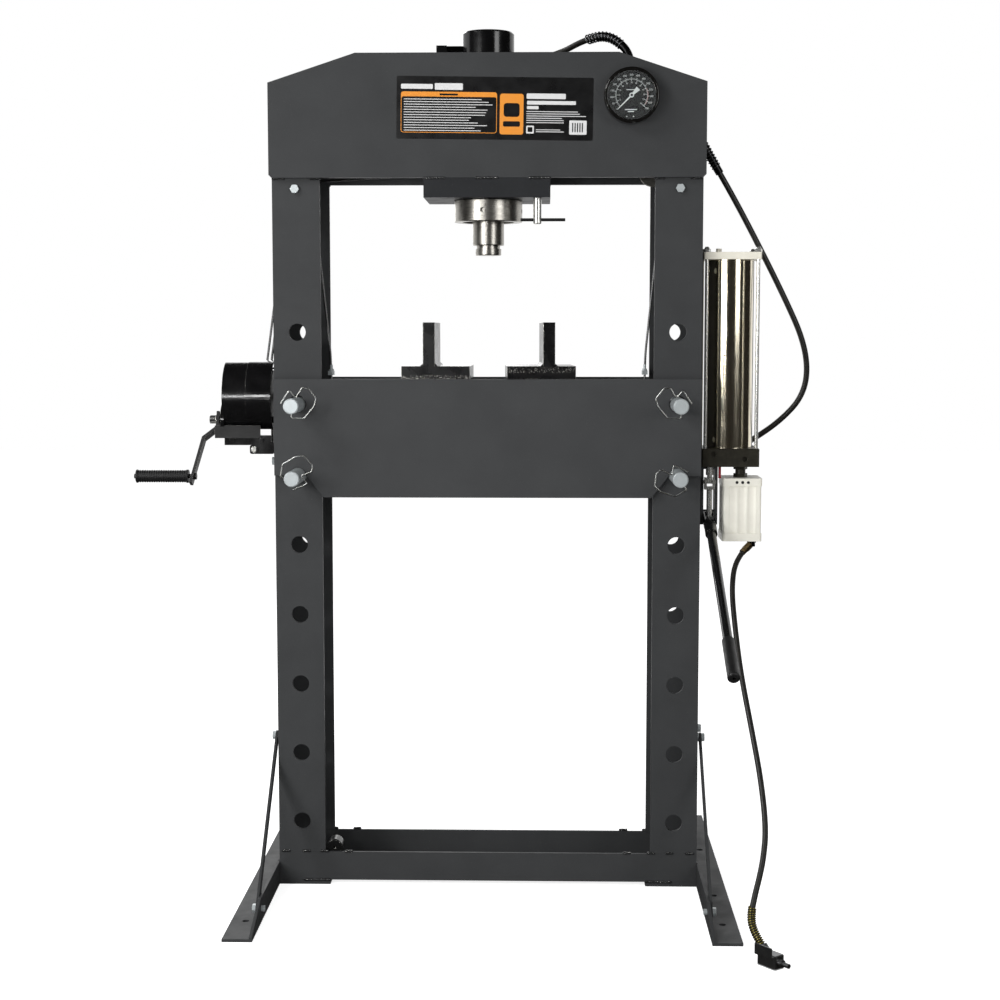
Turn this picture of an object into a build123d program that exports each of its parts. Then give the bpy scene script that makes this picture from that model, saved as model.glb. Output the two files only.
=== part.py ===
from build123d import *
import os
from math import asin, atan2, cos, degrees, hypot, radians, sin, sqrt, tan

os.makedirs("parts", exist_ok=True)

# Frame: millimetres, +Z up, +X to the viewer's right, -Y to the viewer.
# The origin is on the floor, midway between the four anchor holes.

# Frame of the press
frame_w = 900.0
post_w = 100.0
post_d = 180.0
post_t = 8.0
post_top = 1700.0
plate_t = 12.0
base_t = 10.0
base_w = 110.0
cross_h = 62.0
cross_leg = 45.0
cross_t = 6.0
head_over = 5.0
head_h = 255.0
head_z = 1510.0
head_slope = 60.0
head_flat = 546.0
head_corner = 6.0
block_w = 264.0
block_h = 41.0

# Row of pin holes
pitch = 150.0
hole_z = 140.0
hole_count = 8
hole_r = 18.0

# Fits and gaps
gap = 0.3
run_gap = 0.05
over = 2.0

# Pins, clips and bed
pin_r = 16.0
pin_front = 110.0
pin_rear = 16.0
pin_chamfer = 2.0
wire_r = 1.5
clip_in = 10.0
bed_rise = 52.0
bed_mid_h = 250.0
bed_cut_in = 52.0
spacer_t = 12.0
spacer_drop = 14.0
vee_w = 144.0
vee_base_h = 27.0
vee_rib_w = 25.0
vee_h = 118.5
vee_x_left = -108.0
vee_x_right = 110.0
vee_turn = 2.5

# Cylinder, ram and head
cyl_r = 55.0
cyl_top = 1820.0
cyl_foot = 1440.0
bore_r = 45.0
gland_h = 36.0
roof_t = 35.0
collar_r = 58.0
collar_h = 22.0
ring_r = 72.5
ring_h = 46.0
ram_r = 33.5
ram_end = 1374.0
piston_h = 32.0
piston_gap = 4.0
tip_r = 27.5
tip_h = 14.0
tip_neck_r = 25.0
tip_neck_h = 7.0
tip_stem_r = 12.0
tip_stem_h = 30.0
spring_wire = 4.0
spring_turns = 8
screw_x = 105.0
screw_y = -80.0
screw_r = 8.6
screw_end = 1415.0
bar_r = 3.0
bar_z = 1424.0
bar_left = 35.0
bar_right = 58.0

# Feet and braces
foot_leg = 60.0
foot_h = 50.0
foot_t = 6.0
foot_y = 465.0
foot_taper_y = 350.0
foot_tip_h = 9.0
anchor_y = 355.0
anchor_r = 7.0
spare_y = 168.0
brace_w = 20.0
brace_t = 5.0
brace_top_y = 45.0
brace_top_z = 318.0
brace_foot_y = 342.0
brace_foot_z = 28.0
bolt_r = 6.0
bolt_head_r = 9.5
bolt_head_h = 7.0
stub_r = 18.0
stub_z = 80.0
stub_len = 34.0

# Gauge
gauge_x = 298.0
gauge_z = 1674.0
gauge_r = 57.0
gauge_d = 30.0
gauge_face_r = 50.0
gauge_face_d = 9.0
glass_t = 2.0
gauge_stem_r = 9.0
gauge_stem_l = 52.0
needle_t = 1.2
needle_tip = 40.0
needle_tail = 19.0
needle_tail_w = 10.0
needle_w = 3.6
tee_r = 13.0

# Winch
drum_y = 0.0
drum_z = 1050.0
drum_r = 25.2
drum_len = 38.0
flange_r = 40.0
shell_r = 79.0
shell_t = 2.5
shell_off = 10.0
shell_len = 104.0
gear_r = 44.6
pinion_r = 10.9
crank_y = -30.0
crank_z = 1003.0
crank_off = 127.0
crank_step = 46.0
crank_len = 130.0
crank_angle = 25.0
grip_len = 112.0
grip_r = 12.5
rope_r = 2.5
rope_on_drum = 28.0

winch_plate_t = 6.0

# Rope pulleys
pulley_off = 2.0
pulley_z = 1488.0
pulley_r = 25.5
pulley_y2 = 62.0
right_pulley_off = 4.0
right_pulley_z = 1534.0

# Pump
pump_y = 0.0
pump_w = 122.0
pump_plate_t = 5.0
cap_z0 = 1343.0
cap_h = 15.0
blk_z0 = 905.0
blk_z1 = 944.0
tank_r = 49.5
tank_t = 2.5
rod_off = 54.0
rod_r = 4.0
motor_off = 26.0
motor_y = -13.0
motor_w = 84.0
motor_d = 96.0
motor_z0 = 746.0
motor_h = 134.5
motor_cap_h = 17.0
neck_r = 15.0
lever_off = -43.0
lever_pivot_y = -22.2
lever_z = 800.0
lever_reach = 24.0
lever_sag = 18.0
plunger_r = 8.0
link_r = 6.0
handle_r = 9.75
handle_drop = 24.5
handle_len = 563.0
handle_vent_r = 3.0
lever_grip_r = 12.2
lever_grip_len = 124.0
lever_grip_end = 10.0

# Hoses
hose_r = 6.25
air_r = 5.75

post_in = frame_w / 2 - post_w
hole_x = post_in + post_w / 2
web_x = -frame_w / 2
head_w = frame_w + 2 * head_over
bed_w = frame_w
anchor_x = frame_w / 2 + foot_leg / 2
pulley_x = -hole_x - pulley_off
right_pulley_x = post_in + right_pulley_off
shell_x1 = web_x - shell_off
shell_x0 = shell_x1 - shell_len
crank_x = web_x - crank_off
pump_x = frame_w / 2 + pump_plate_t + pump_w / 2
motor_x = pump_x + motor_off
lever_x = pump_x + lever_off
post_z = base_t + cross_h
post_face = post_d / 2
plate_face = post_face + plate_t
low_pin_hole_z = hole_z + 5 * pitch
high_pin_hole_z = low_pin_hole_z + pitch
pin_sink = hole_r - pin_r - gap
low_pin_z = low_pin_hole_z - pin_sink
high_pin_z = high_pin_hole_z - pin_sink
bed_top = high_pin_hole_z + bed_rise
bed_side_z = low_pin_z
seat_r = pin_r + gap


def cord_radii(points):
    """One radius for each corner of a route, as large as its two runs allow."""
    radii = []
    for a, b, c in zip(points, points[1:], points[2:]):
        before = Vector(*b) - Vector(*a)
        after = Vector(*c) - Vector(*b)
        turn = radians(before.get_angle(after))
        radii.append(0.45 * min(before.length, after.length) / tan(turn / 2))
    return radii


def cord_length(points, radii):
    """Length of a route of straight runs joined by tangent arcs."""
    total = 0.0
    for a, b in zip(points, points[1:]):
        total += (Vector(*b) - Vector(*a)).length
    for (a, b, c), r in zip(zip(points, points[1:], points[2:]), radii):
        turn = radians((Vector(*b) - Vector(*a)).get_angle(Vector(*c) - Vector(*b)))
        total += r * turn - 2 * r * tan(turn / 2)
    return total


def start_plane(points):
    """Plane across the first run of a route."""
    return Plane(origin=points[0], z_dir=Vector(*points[1]) - Vector(*points[0]))


# Head: two plates, one on each side of the posts, with sloping shoulders
head_top = head_z + head_h
shoulder_z = head_top - head_slope
for label, near, gauge_hole in (("head_front_plate", plate_face, True),
                                ("head_rear_plate", -post_face, False)):
    with BuildPart() as head_plate:
        with BuildSketch(Plane.XZ.offset(near)) as outline:
            with BuildLine():
                Polyline(
                    (-head_w / 2 + head_corner, head_z),
                    (head_w / 2 - head_corner, head_z),
                    (head_w / 2, head_z + head_corner),
                    (head_w / 2, shoulder_z),
                    (head_flat / 2, head_top),
                    (-head_flat / 2, head_top),
                    (-head_w / 2, shoulder_z),
                    (-head_w / 2, head_z + head_corner),
                    close=True,
                )
            make_face()
            if gauge_hole:
                with Locations((gauge_x, gauge_z)):
                    Circle(gauge_stem_r + 1.0, mode=Mode.SUBTRACT)
            else:
                with Locations((right_pulley_x, right_pulley_z)):
                    Circle(bolt_r + run_gap, mode=Mode.SUBTRACT)
        extrude(amount=-plate_t)
    head_plate.part.label = label
    export_step(head_plate.part, "parts/" + label + ".step")

# Head block: thick bolster welded under both plates, bored for the cylinder
with BuildPart() as head_block:
    with BuildSketch(Plane.XY.offset(head_z - block_h)):
        Rectangle(block_w, 2 * plate_face)
        Circle(cyl_r + run_gap, mode=Mode.SUBTRACT)
        with Locations((screw_x, screw_y)):
            Circle(screw_r + run_gap, mode=Mode.SUBTRACT)
    extrude(amount=block_h)
head_block.part.label = "head_block"
export_step(head_block.part, "parts/head_block.step")

# Posts: channels with the web outward and the open side to the work
slot_y = 30.0
slot_w = 84.0
slot_z = 1374.0
slot_h = 180.0
hose_hole_z = 1606.0
hose_hole_y = 7.0
winch_bolt_z = 915.0
pump_bolt_z = (960.0, 1320.0)
web_bolt_y = 40.0
for side, label in ((-1, "left_post"), (1, "right_post")):
    with BuildPart() as post:
        with BuildSketch(Plane.XY.offset(post_z)):
            with Locations((side * (post_in + post_w / 2), 0)):
                Rectangle(post_w, post_d)
            with Locations((side * (post_in + (post_w - post_t) / 2), 0)):
                Rectangle(post_w - post_t, post_d - 2 * post_t, mode=Mode.SUBTRACT)
        extrude(amount=post_top - post_z)
        with BuildSketch(Plane.XZ.offset(post_face + over)):
            for i in range(hole_count):
                with Locations((side * hole_x, hole_z + i * pitch)):
                    Circle(hole_r)
            with Locations((side * abs(pulley_x), pulley_z)):
                Circle(bolt_r + run_gap)
        extrude(amount=-(post_d + 2 * over), mode=Mode.SUBTRACT)
        if side > 0:
            with BuildSketch(Plane.XZ.offset(-post_face + post_t + over)):
                with Locations((right_pulley_x, right_pulley_z)):
                    Circle(bolt_r + run_gap)
            extrude(amount=-(post_t + 2 * over), mode=Mode.SUBTRACT)
        with BuildSketch(Plane.YZ.offset(side * frame_w / 2 - side * (post_t + over))):
            for y in (-brace_top_y, brace_top_y):
                with Locations((y, brace_top_z)):
                    Circle(bolt_r + run_gap)
            if side < 0:
                with Locations((slot_y, slot_z)):
                    RectangleRounded(slot_w, slot_h, 20)
                for y in (-web_bolt_y, web_bolt_y):
                    with Locations((y, winch_bolt_z)):
                        Circle(bolt_r + run_gap)
            else:
                with Locations((hose_hole_y, hose_hole_z)):
                    RectangleRounded(40, 60, 16)
                for z in pump_bolt_z:
                    for y in (-web_bolt_y, web_bolt_y):
                        with Locations((y, z)):
                            Circle(bolt_r + run_gap)
        extrude(amount=side * (post_t + 2 * over), mode=Mode.SUBTRACT)
    post.part.label = label
    export_step(post.part, "parts/" + label + ".step")

# Crossmembers: angles between base plates and posts, upright leg outward
for side, label in ((-1, "front_crossmember"), (1, "rear_crossmember")):
    with BuildPart() as crossmember:
        with BuildSketch(Plane.YZ.offset(-frame_w / 2)):
            with Locations((side * (post_face - cross_t / 2), base_t + cross_h / 2)):
                Rectangle(cross_t, cross_h)
            with Locations((side * (post_face - cross_leg / 2), base_t + cross_t / 2)):
                Rectangle(cross_leg, cross_t)
        extrude(amount=frame_w)
    crossmember.part.label = label
    export_step(crossmember.part, "parts/" + label + ".step")

# Base plates under both posts
with BuildPart() as base_plates:
    with Locations(*[(s * (frame_w - base_w) / 2, 0, base_t / 2) for s in (-1, 1)]):
        Box(base_w, post_d, base_t)
base_plates.part.label = "base_plates"
export_step(base_plates.part, "parts/base_plates.step")

# Feet: angle irons against the outer faces, upright leg tapered at both ends
for side, label in ((-1, "left_foot"), (1, "right_foot")):
    with BuildPart() as foot:
        with BuildSketch(Plane.XY):
            with Locations((side * (frame_w / 2 + foot_leg / 2), 0)):
                Rectangle(foot_leg, 2 * foot_y)
            for y in (-anchor_y, -spare_y, spare_y, anchor_y):
                with Locations((side * anchor_x, y)):
                    Circle(anchor_r, mode=Mode.SUBTRACT)
        extrude(amount=foot_t)
        with BuildSketch(Plane.YZ.offset(side * frame_w / 2)):
            with BuildLine():
                Polyline(
                    (-foot_y, 0), (foot_y, 0), (foot_y, foot_tip_h),
                    (foot_taper_y, foot_h), (-foot_taper_y, foot_h),
                    (-foot_y, foot_tip_h), close=True,
                )
            make_face()
            for y in (-brace_foot_y, brace_foot_y):
                with Locations((y, brace_foot_z)):
                    Circle(bolt_r + run_gap, mode=Mode.SUBTRACT)
        extrude(amount=side * foot_t)
    foot.part.label = label
    export_step(foot.part, "parts/" + label + ".step")

# Braces: flat bars from the webs down to the upright legs of the feet
brace_dy = brace_foot_y - brace_top_y
brace_dz = brace_top_z - brace_foot_z
brace_run = hypot(brace_dy, brace_dz)
brace_tilt = degrees(atan2(brace_dz, brace_dy))
brace_x = frame_w / 2 + foot_t
with BuildPart() as foot_braces:
    for side in (-1, 1):
        for end in (-1, 1):
            mid_y = end * (brace_top_y + brace_foot_y) / 2
            mid_z = (brace_top_z + brace_foot_z) / 2
            with BuildSketch(Plane.YZ.offset(side * brace_x)):
                with Locations(Location((mid_y, mid_z, 0), (0, 0, -end * brace_tilt))):
                    SlotCenterToCenter(brace_run, brace_w)
                    with GridLocations(brace_run, 0, 2, 1):
                        Circle(bolt_r + run_gap, mode=Mode.SUBTRACT)
            extrude(amount=side * brace_t)
foot_braces.part.label = "foot_braces"
export_step(foot_braces.part, "parts/foot_braces.step")


# Round stub low in the corner of the left post and the front crossmember
with BuildPart() as rest_stub:
    with BuildSketch(Plane.XZ.offset(post_face - cross_t)):
        with Locations((-post_in + stub_r + gap / 2, stub_z)):
            Circle(stub_r)
    extrude(amount=-stub_len)
    front_edge = rest_stub.edges().filter_by(GeomType.CIRCLE).sort_by(Axis.Y)[0]
    chamfer(front_edge, 2.0)
    with Locations(Location((-post_in + stub_r + gap / 2, -post_face + cross_t, stub_z), (90, 0, 0))):
        Hole(3.0, depth=6.0)
rest_stub.part.label = "rest_stub"
export_step(rest_stub.part, "parts/rest_stub.step")

# Bed: two beams that hang on the high pins and sit on the low pins
for label, near in (("bed_front_beam", plate_face), ("bed_rear_beam", -post_face)):
    with BuildPart() as bed_beam:
        with BuildSketch(Plane.XZ.offset(near)):
            with BuildLine():
                Polyline(
                    (-bed_w / 2, bed_top), (bed_w / 2, bed_top),
                    (bed_w / 2, bed_side_z), (post_in + bed_cut_in - 20, bed_side_z),
                    (post_in - 4, bed_top - bed_mid_h), (-post_in + 4, bed_top - bed_mid_h),
                    (-post_in - bed_cut_in + 20, bed_side_z), (-bed_w / 2, bed_side_z),
                    close=True,
                )
            make_face()
            for x in (-hole_x, hole_x):
                with Locations((x, high_pin_hole_z)):
                    Circle(hole_r, mode=Mode.SUBTRACT)
                with Locations((x, bed_side_z)):
                    Circle(seat_r, mode=Mode.SUBTRACT)
        extrude(amount=-plate_t)
    bed_beam.part.label = label
    export_step(bed_beam.part, "parts/" + label + ".step")

# Cross plates between the two beams, with a rope hole in the end ones
spacer_h = bed_mid_h - 2 * spacer_drop
spacer_z = bed_top - spacer_drop - spacer_h
spacer_end_x = post_in - 11.0
with BuildPart() as bed_spacers:
    for x in (-spacer_end_x, -spacer_end_x / 3, spacer_end_x / 3, spacer_end_x):
        with Locations((x, 0, spacer_z + spacer_h / 2)):
            Box(spacer_t, post_d, spacer_h)
    for x, y in ((-spacer_end_x, 0), (spacer_end_x, pulley_y2)):
        with Locations(Location((x, y, spacer_z + spacer_h), (0, 0, 0))):
            Hole(rope_r + run_gap, depth=40.0)
bed_spacers.part.label = "bed_spacers"
export_step(bed_spacers.part, "parts/bed_spacers.step")

# Bed pins: round bars with a cross hole near the front end for the clip
pin_back = -(plate_face + pin_rear)
pin_nose = plate_face + pin_front - plate_t
clip_y = -(pin_nose - clip_in)
clip_hole_r = wire_r + gap
pins = (("upper_left", -1, high_pin_z, False, 0.0), ("upper_right", 1, high_pin_z, True, 0.0),
        ("lower_left", -1, low_pin_z, True, -100.0), ("lower_right", 1, low_pin_z, True, 32.0))
clip_shape = ((0, 13.0), (0, -24.5), (27, -24.0), (47, 0), (52, 16), (35, 37), (22, 38),
              (9.6, 16.6), (-4, 33), (-22, 5.5))
clip_arcs = (3.0, 4.0, 12.0, 9.0, 9.0, 5.0, 3.0, 3.0)
for name, side, z, mirrored, turn in pins:
    spot = (side * hole_x, z)
    hand = -1.0 if mirrored else 1.0
    with BuildPart() as bed_pin:
        with BuildSketch(Plane.XZ.offset(pin_nose)):
            with Locations(spot):
                Circle(pin_r)
        extrude(amount=-(pin_nose - pin_back))
        ends = bed_pin.edges().filter_by(GeomType.CIRCLE)
        chamfer(ends, pin_chamfer)
        with BuildSketch(Plane(origin=(spot[0], clip_y, z), z_dir=(
                sin(radians(-turn)), 0, cos(radians(turn))))):
            Circle(clip_hole_r)
        extrude(amount=pin_r + over, both=True, mode=Mode.SUBTRACT)
    bed_pin.part.label = "bed_pin_" + name
    export_step(bed_pin.part, "parts/bed_pin_" + name + ".step")

    route = []
    for px, pz in clip_shape:
        c, s = cos(radians(turn)), sin(radians(turn))
        qx = hand * px
        route.append((spot[0] + qx * c - pz * s, clip_y, z + qx * s + pz * c))
    with BuildPart() as pin_clip:
        with BuildLine() as wire:
            FilletPolyline(*route, radius=list(clip_arcs))
        with BuildSketch(start_plane(route)):
            Circle(wire_r)
        sweep()
    pin_clip.part.label = "pin_clip_" + name
    export_step(pin_clip.part, "parts/pin_clip_" + name + ".step")

# Press blocks: bars of inverted T shape that rest across both beams
for label, x, turn in (("press_block_left", vee_x_left, 0.0),
                       ("press_block_right", vee_x_right, vee_turn)):
    with BuildPart() as press_block:
        with BuildSketch(Plane(origin=(x, 0, bed_top), x_dir=(
                cos(radians(turn)), sin(radians(turn)), 0))):
            Rectangle(vee_w, 2 * plate_face)
        extrude(amount=vee_base_h)
        with BuildSketch(Plane(origin=(x, 0, bed_top + vee_base_h), x_dir=(
                cos(radians(turn)), sin(radians(turn)), 0))):
            with Locations((-14 if x < 0 else 16, 0)):
                Rectangle(vee_rib_w + 12, 2 * plate_face)
        extrude(amount=6.0, taper=45)
        with BuildSketch(Plane(origin=(x, 0, bed_top + vee_base_h), x_dir=(
                cos(radians(turn)), sin(radians(turn)), 0))):
            with Locations((-14 if x < 0 else 16, 0)):
                Rectangle(vee_rib_w, 2 * plate_face)
        extrude(amount=vee_h - vee_base_h)
    press_block.part.label = label
    export_step(press_block.part, "parts/" + label + ".step")

# Cylinder: closed top above the head, collar on the head block, gland at the foot
roof_z = cyl_top - roof_t
piston_top = roof_z - piston_gap
piston_z = piston_top - piston_h
port_z = roof_z - 3.0
with BuildPart() as cylinder_body:
    with BuildSketch(Plane.XZ):
        with BuildLine():
            Polyline(
                (ram_r + run_gap, cyl_foot), (cyl_r, cyl_foot), (cyl_r, head_z),
                (collar_r, head_z), (collar_r, head_z + collar_h), (cyl_r, head_z + collar_h),
                (cyl_r, cyl_top - 4), (cyl_r - 4, cyl_top), (0, cyl_top), (0, roof_z),
                (bore_r, roof_z), (bore_r, cyl_foot + gland_h),
                (ram_r + run_gap, cyl_foot + gland_h), close=True,
            )
        make_face()
    revolve(axis=Axis.Z)
    with BuildSketch(Plane.YZ.offset(-cyl_r - over)):
        with Locations((0, port_z)):
            Circle(4.0)
    extrude(amount=2 * over + cyl_r - bore_r, mode=Mode.SUBTRACT)
cylinder_body.part.label = "cylinder_body"
export_step(cylinder_body.part, "parts/cylinder_body.step")

# Lock ring screwed on the cylinder against the head block, with spanner holes
with BuildPart() as lock_ring:
    with BuildSketch(Plane.XY.offset(head_z - block_h - ring_h)):
        Circle(ring_r)
        Circle(cyl_r + run_gap, mode=Mode.SUBTRACT)
    extrude(amount=ring_h)
    rims = lock_ring.edges().filter_by(GeomType.CIRCLE).filter_by(
        lambda e: abs(e.radius - ring_r) < 0.01)
    chamfer(rims, 1.5)
    for angle in (-98, -8, 82, 172):
        a = radians(angle)
        with BuildSketch(Plane(
                origin=(ring_r * cos(a), ring_r * sin(a), head_z - block_h - ring_h / 2),
                z_dir=(-cos(a), -sin(a), 0))):
            Circle(5.0)
        extrude(amount=9.0, mode=Mode.SUBTRACT)
lock_ring.part.label = "lock_ring"
export_step(lock_ring.part, "parts/lock_ring.step")

# Ram turned in one with its piston, bored at the foot for the nose
with BuildPart() as ram:
    with BuildSketch(Plane.XZ):
        with BuildLine():
            Polyline(
                (0, ram_end + tip_stem_h), (tip_stem_r + run_gap, ram_end + tip_stem_h),
                (tip_stem_r + run_gap, ram_end), (ram_r - 1.5, ram_end),
                (ram_r, ram_end + 1.5), (ram_r, piston_z), (bore_r - run_gap, piston_z),
                (bore_r - run_gap, piston_top), (0, piston_top), close=True,
            )
        make_face()
    revolve(axis=Axis.Z)
ram.part.label = "ram"
export_step(ram.part, "parts/ram.step")

# Pressing nose with a short neck and a stem in the ram
nose_top = ram_end
with BuildPart() as ram_nose:
    with BuildSketch(Plane.XZ):
        with BuildLine():
            Polyline(
                (0, nose_top - tip_neck_h - tip_h),
                (tip_r - 1.5, nose_top - tip_neck_h - tip_h),
                (tip_r, nose_top - tip_neck_h - tip_h + 1.5),
                (tip_r, nose_top - tip_neck_h), (tip_neck_r, nose_top - tip_neck_h),
                (tip_neck_r, nose_top), (tip_stem_r, nose_top),
                (tip_stem_r, nose_top + tip_stem_h - gap),
                (0, nose_top + tip_stem_h - gap), close=True,
            )
        make_face()
    revolve(axis=Axis.Z)
ram_nose.part.label = "ram_nose"
export_step(ram_nose.part, "parts/ram_nose.step")

# Return spring round the ram, between gland and piston
spring_r = (ram_r + bore_r) / 2
spring_z0 = cyl_foot + gland_h + spring_wire
spring_z1 = piston_z - spring_wire
seat_half = spring_wire + 0.5
with BuildPart() as return_spring:
    with BuildLine():
        Helix(pitch=(spring_z1 - spring_z0) / spring_turns, height=spring_z1 - spring_z0,
              radius=spring_r, center=(0, 0, spring_z0))
    with BuildSketch(Plane(origin=(spring_r, 0, spring_z0), z_dir=(
            0, 2 * 3.14159265 * spring_r, (spring_z1 - spring_z0) / spring_turns))):
        Circle(spring_wire)
    sweep(is_frenet=True)
    for z in (spring_z0 - spring_wire, spring_z1):
        with BuildSketch(Plane.XY.offset(z)):
            Circle(spring_r + seat_half)
            Circle(spring_r - seat_half, mode=Mode.SUBTRACT)
        extrude(amount=spring_wire)
return_spring.part.label = "return_spring"
export_step(return_spring.part, "parts/return_spring.step")

# Clamp screw under the head block with its cross bar
with BuildPart() as clamp_screw:
    with BuildSketch(Plane.XY.offset(screw_end)):
        with Locations((screw_x, screw_y)):
            Circle(screw_r)
    extrude(amount=head_z - 2 - screw_end)
    chamfer(clamp_screw.faces().sort_by(Axis.Z)[0].edges(), 1.5)
    with BuildSketch(Plane.YZ.offset(screw_x - bar_left)):
        with Locations((screw_y, bar_z)):
            Circle(bar_r)
    extrude(amount=bar_left + bar_right)
clamp_screw.part.label = "clamp_screw"
export_step(clamp_screw.part, "parts/clamp_screw.step")

# Gauge: case with rim and stem, needle on its spindle, glass
gauge_front = plate_face + gauge_d
dial_y = gauge_front - gauge_face_d
with BuildPart() as gauge_case:
    with BuildSketch(Plane.XZ.offset(plate_face)):
        with Locations((gauge_x, gauge_z)):
            Circle(gauge_r)
    extrude(amount=gauge_d)
    chamfer(gauge_case.faces().sort_by(Axis.Y)[0].edges(), 2.5)
    with BuildSketch(Plane.XZ.offset(dial_y)):
        with Locations((gauge_x, gauge_z)):
            Circle(gauge_face_r)
    extrude(amount=gauge_face_d + over, mode=Mode.SUBTRACT)
    with BuildSketch(Plane.XZ.offset(dial_y)):
        with Locations((gauge_x, gauge_z)):
            Circle(2.0 + run_gap)
    extrude(amount=-6.0, mode=Mode.SUBTRACT)
    with BuildSketch(Plane.XZ.offset(plate_face)):
        with Locations((gauge_x, gauge_z)):
            Circle(gauge_stem_r)
    extrude(amount=-gauge_stem_l)
gauge_case.part.label = "gauge_case"
export_step(gauge_case.part, "parts/gauge_case.step")

with BuildPart() as gauge_needle:
    with BuildSketch(Plane(origin=(gauge_x, -dial_y - 2.0, gauge_z), x_dir=(-1, 0, -1),
                           z_dir=(0, -1, 0))):
        with BuildLine():
            Polyline((-needle_tail, needle_tail_w / 2), (-needle_tail, -needle_tail_w / 2),
                     (0, -needle_w / 2), (needle_tip, -0.5), (needle_tip, 0.5), (0, needle_w / 2),
                     close=True)
        make_face()
        Circle(5.0)
    extrude(amount=needle_t)
    with BuildSketch(Plane.XZ.offset(dial_y - 5.0)):
        with Locations((gauge_x, gauge_z)):
            Circle(2.0)
    extrude(amount=7.0)
gauge_needle.part.label = "gauge_needle"
export_step(gauge_needle.part, "parts/gauge_needle.step")

with BuildPart() as gauge_glass:
    with BuildSketch(Plane.XZ.offset(gauge_front - glass_t - 1.0)):
        with Locations((gauge_x, gauge_z)):
            Circle(gauge_face_r - run_gap)
    extrude(amount=glass_t)
gauge_glass.part.label = "gauge_glass"
export_step(gauge_glass.part, "parts/gauge_glass.step")

# Winch: frame bolted to the web of the left post
side_t = 4.0
side_a = shell_x0 + 2.0
side_b = shell_x1 - side_t - 2.0
winch_half = 60.0
winch_neck = 35.0
winch_floor_z = 950.0
winch_back_z = 895.0
lip_h = 21.0
lip_bolt_in = 16.0
lip_bolt_r = 5.5
lip_bolt_h = 4.0
hanger_w = 52.0
hanger_h = 19.0
drum_shaft_r = 8.0
crank_shaft_r = 7.0
drum_axis = (drum_y, drum_z)
crank_axis = (crank_y, crank_z)
with BuildPart() as winch_frame:
    with BuildSketch(Plane.YZ.offset(web_x - winch_plate_t)):
        with Locations((0, (winch_back_z + winch_floor_z) / 2 + winch_plate_t / 2)):
            Rectangle(2 * winch_half, winch_floor_z - winch_back_z + winch_plate_t)
        for y in (-web_bolt_y, web_bolt_y):
            with Locations((y, winch_bolt_z)):
                Circle(bolt_r + run_gap, mode=Mode.SUBTRACT)
    extrude(amount=winch_plate_t)
    with BuildSketch(Plane.YZ.offset(side_a)):
        with Locations((0, winch_floor_z + winch_plate_t / 2)):
            Rectangle(2 * winch_half, winch_plate_t)
    extrude(amount=web_x - side_a)
    for x in (side_a, side_b):
        with BuildSketch(Plane.YZ.offset(x)):
            with Locations(drum_axis):
                Circle(winch_half)
            with Locations((0, (winch_floor_z + drum_z) / 2)):
                Rectangle(2 * winch_neck, drum_z - winch_floor_z)
            with Locations(crank_axis):
                Circle(2 * drum_shaft_r)
            with Locations(drum_axis):
                Circle(drum_shaft_r + run_gap, mode=Mode.SUBTRACT)
            with Locations(crank_axis):
                Circle(crank_shaft_r + run_gap, mode=Mode.SUBTRACT)
        extrude(amount=side_t)
    with BuildSketch(Plane.XZ.offset(winch_half)):
        with Locations(((side_a + side_b + side_t) / 2, winch_floor_z + lip_h / 2)):
            Rectangle(side_b + side_t - side_a, lip_h)
        with Locations((web_x - hanger_w / 2 - winch_plate_t, winch_floor_z - hanger_h / 2)):
            RectangleRounded(hanger_w, hanger_h, 4)
        with Locations((web_x - hanger_w / 2, winch_floor_z)):
            Rectangle(hanger_w, winch_plate_t)
    extrude(amount=-winch_plate_t)
    for x in (side_a + lip_bolt_in, side_b - lip_bolt_in):
        with BuildSketch(Plane.XZ.offset(winch_half)):
            with Locations((x, winch_floor_z + lip_h / 2)):
                RegularPolygon(lip_bolt_r, 6)
        extrude(amount=lip_bolt_h)
    with BuildSketch(Plane.XZ.offset(winch_half)):
        with Locations((web_x - hanger_w - winch_plate_t + hanger_h / 2 + 4,
                        winch_floor_z - hanger_h / 2)):
            RegularPolygon(lip_bolt_r, 6)
    extrude(amount=lip_bolt_h)
winch_frame.part.label = "winch_frame"
export_step(winch_frame.part, "parts/winch_frame.step")

# Winch cover: bent shell and end disc with a boss round the crank shaft
boss_r = 36.0
rope_slot_y = 28.0
rope_slot_w = 26.0
rope_slot_l = 38.0
boss_h = 6.0
with BuildPart() as winch_cover:
    with BuildSketch(Plane.YZ.offset(shell_x0)):
        with Locations(drum_axis):
            Circle(shell_r)
            Circle(shell_r - shell_t, mode=Mode.SUBTRACT)
    extrude(amount=shell_x1 - shell_x0)
    with BuildSketch(Plane.YZ.offset(shell_x0)):
        with Locations(drum_axis):
            Circle(shell_r)
            Circle(drum_shaft_r + 2 * over, mode=Mode.SUBTRACT)
    extrude(amount=side_a - shell_x0)
    with BuildSketch(Plane.YZ.offset(shell_x0)):
        with Locations((0, winch_floor_z)):
            Rectangle(3 * shell_r, 2 * 33)
    extrude(amount=shell_x1 - shell_x0, mode=Mode.SUBTRACT)
    with BuildSketch(Plane.YZ.offset(side_a)):
        with Locations(crank_axis):
            Circle(boss_r)
    extrude(amount=-(side_a - shell_x0) - boss_h)
    with BuildSketch(Plane.YZ.offset(side_a)):
        with Locations(crank_axis):
            Circle(crank_shaft_r + 2 * over)
    extrude(amount=-(side_a - shell_x0) - boss_h, mode=Mode.SUBTRACT)
    with BuildSketch(Plane.XY.offset(drum_z + winch_half)):
        with Locations((shell_x1 - 19.0, rope_slot_y)):
            RectangleRounded(rope_slot_w, rope_slot_l, 8)
    extrude(amount=shell_r, mode=Mode.SUBTRACT)
winch_cover.part.label = "winch_cover"
export_step(winch_cover.part, "parts/winch_cover.step")

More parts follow.
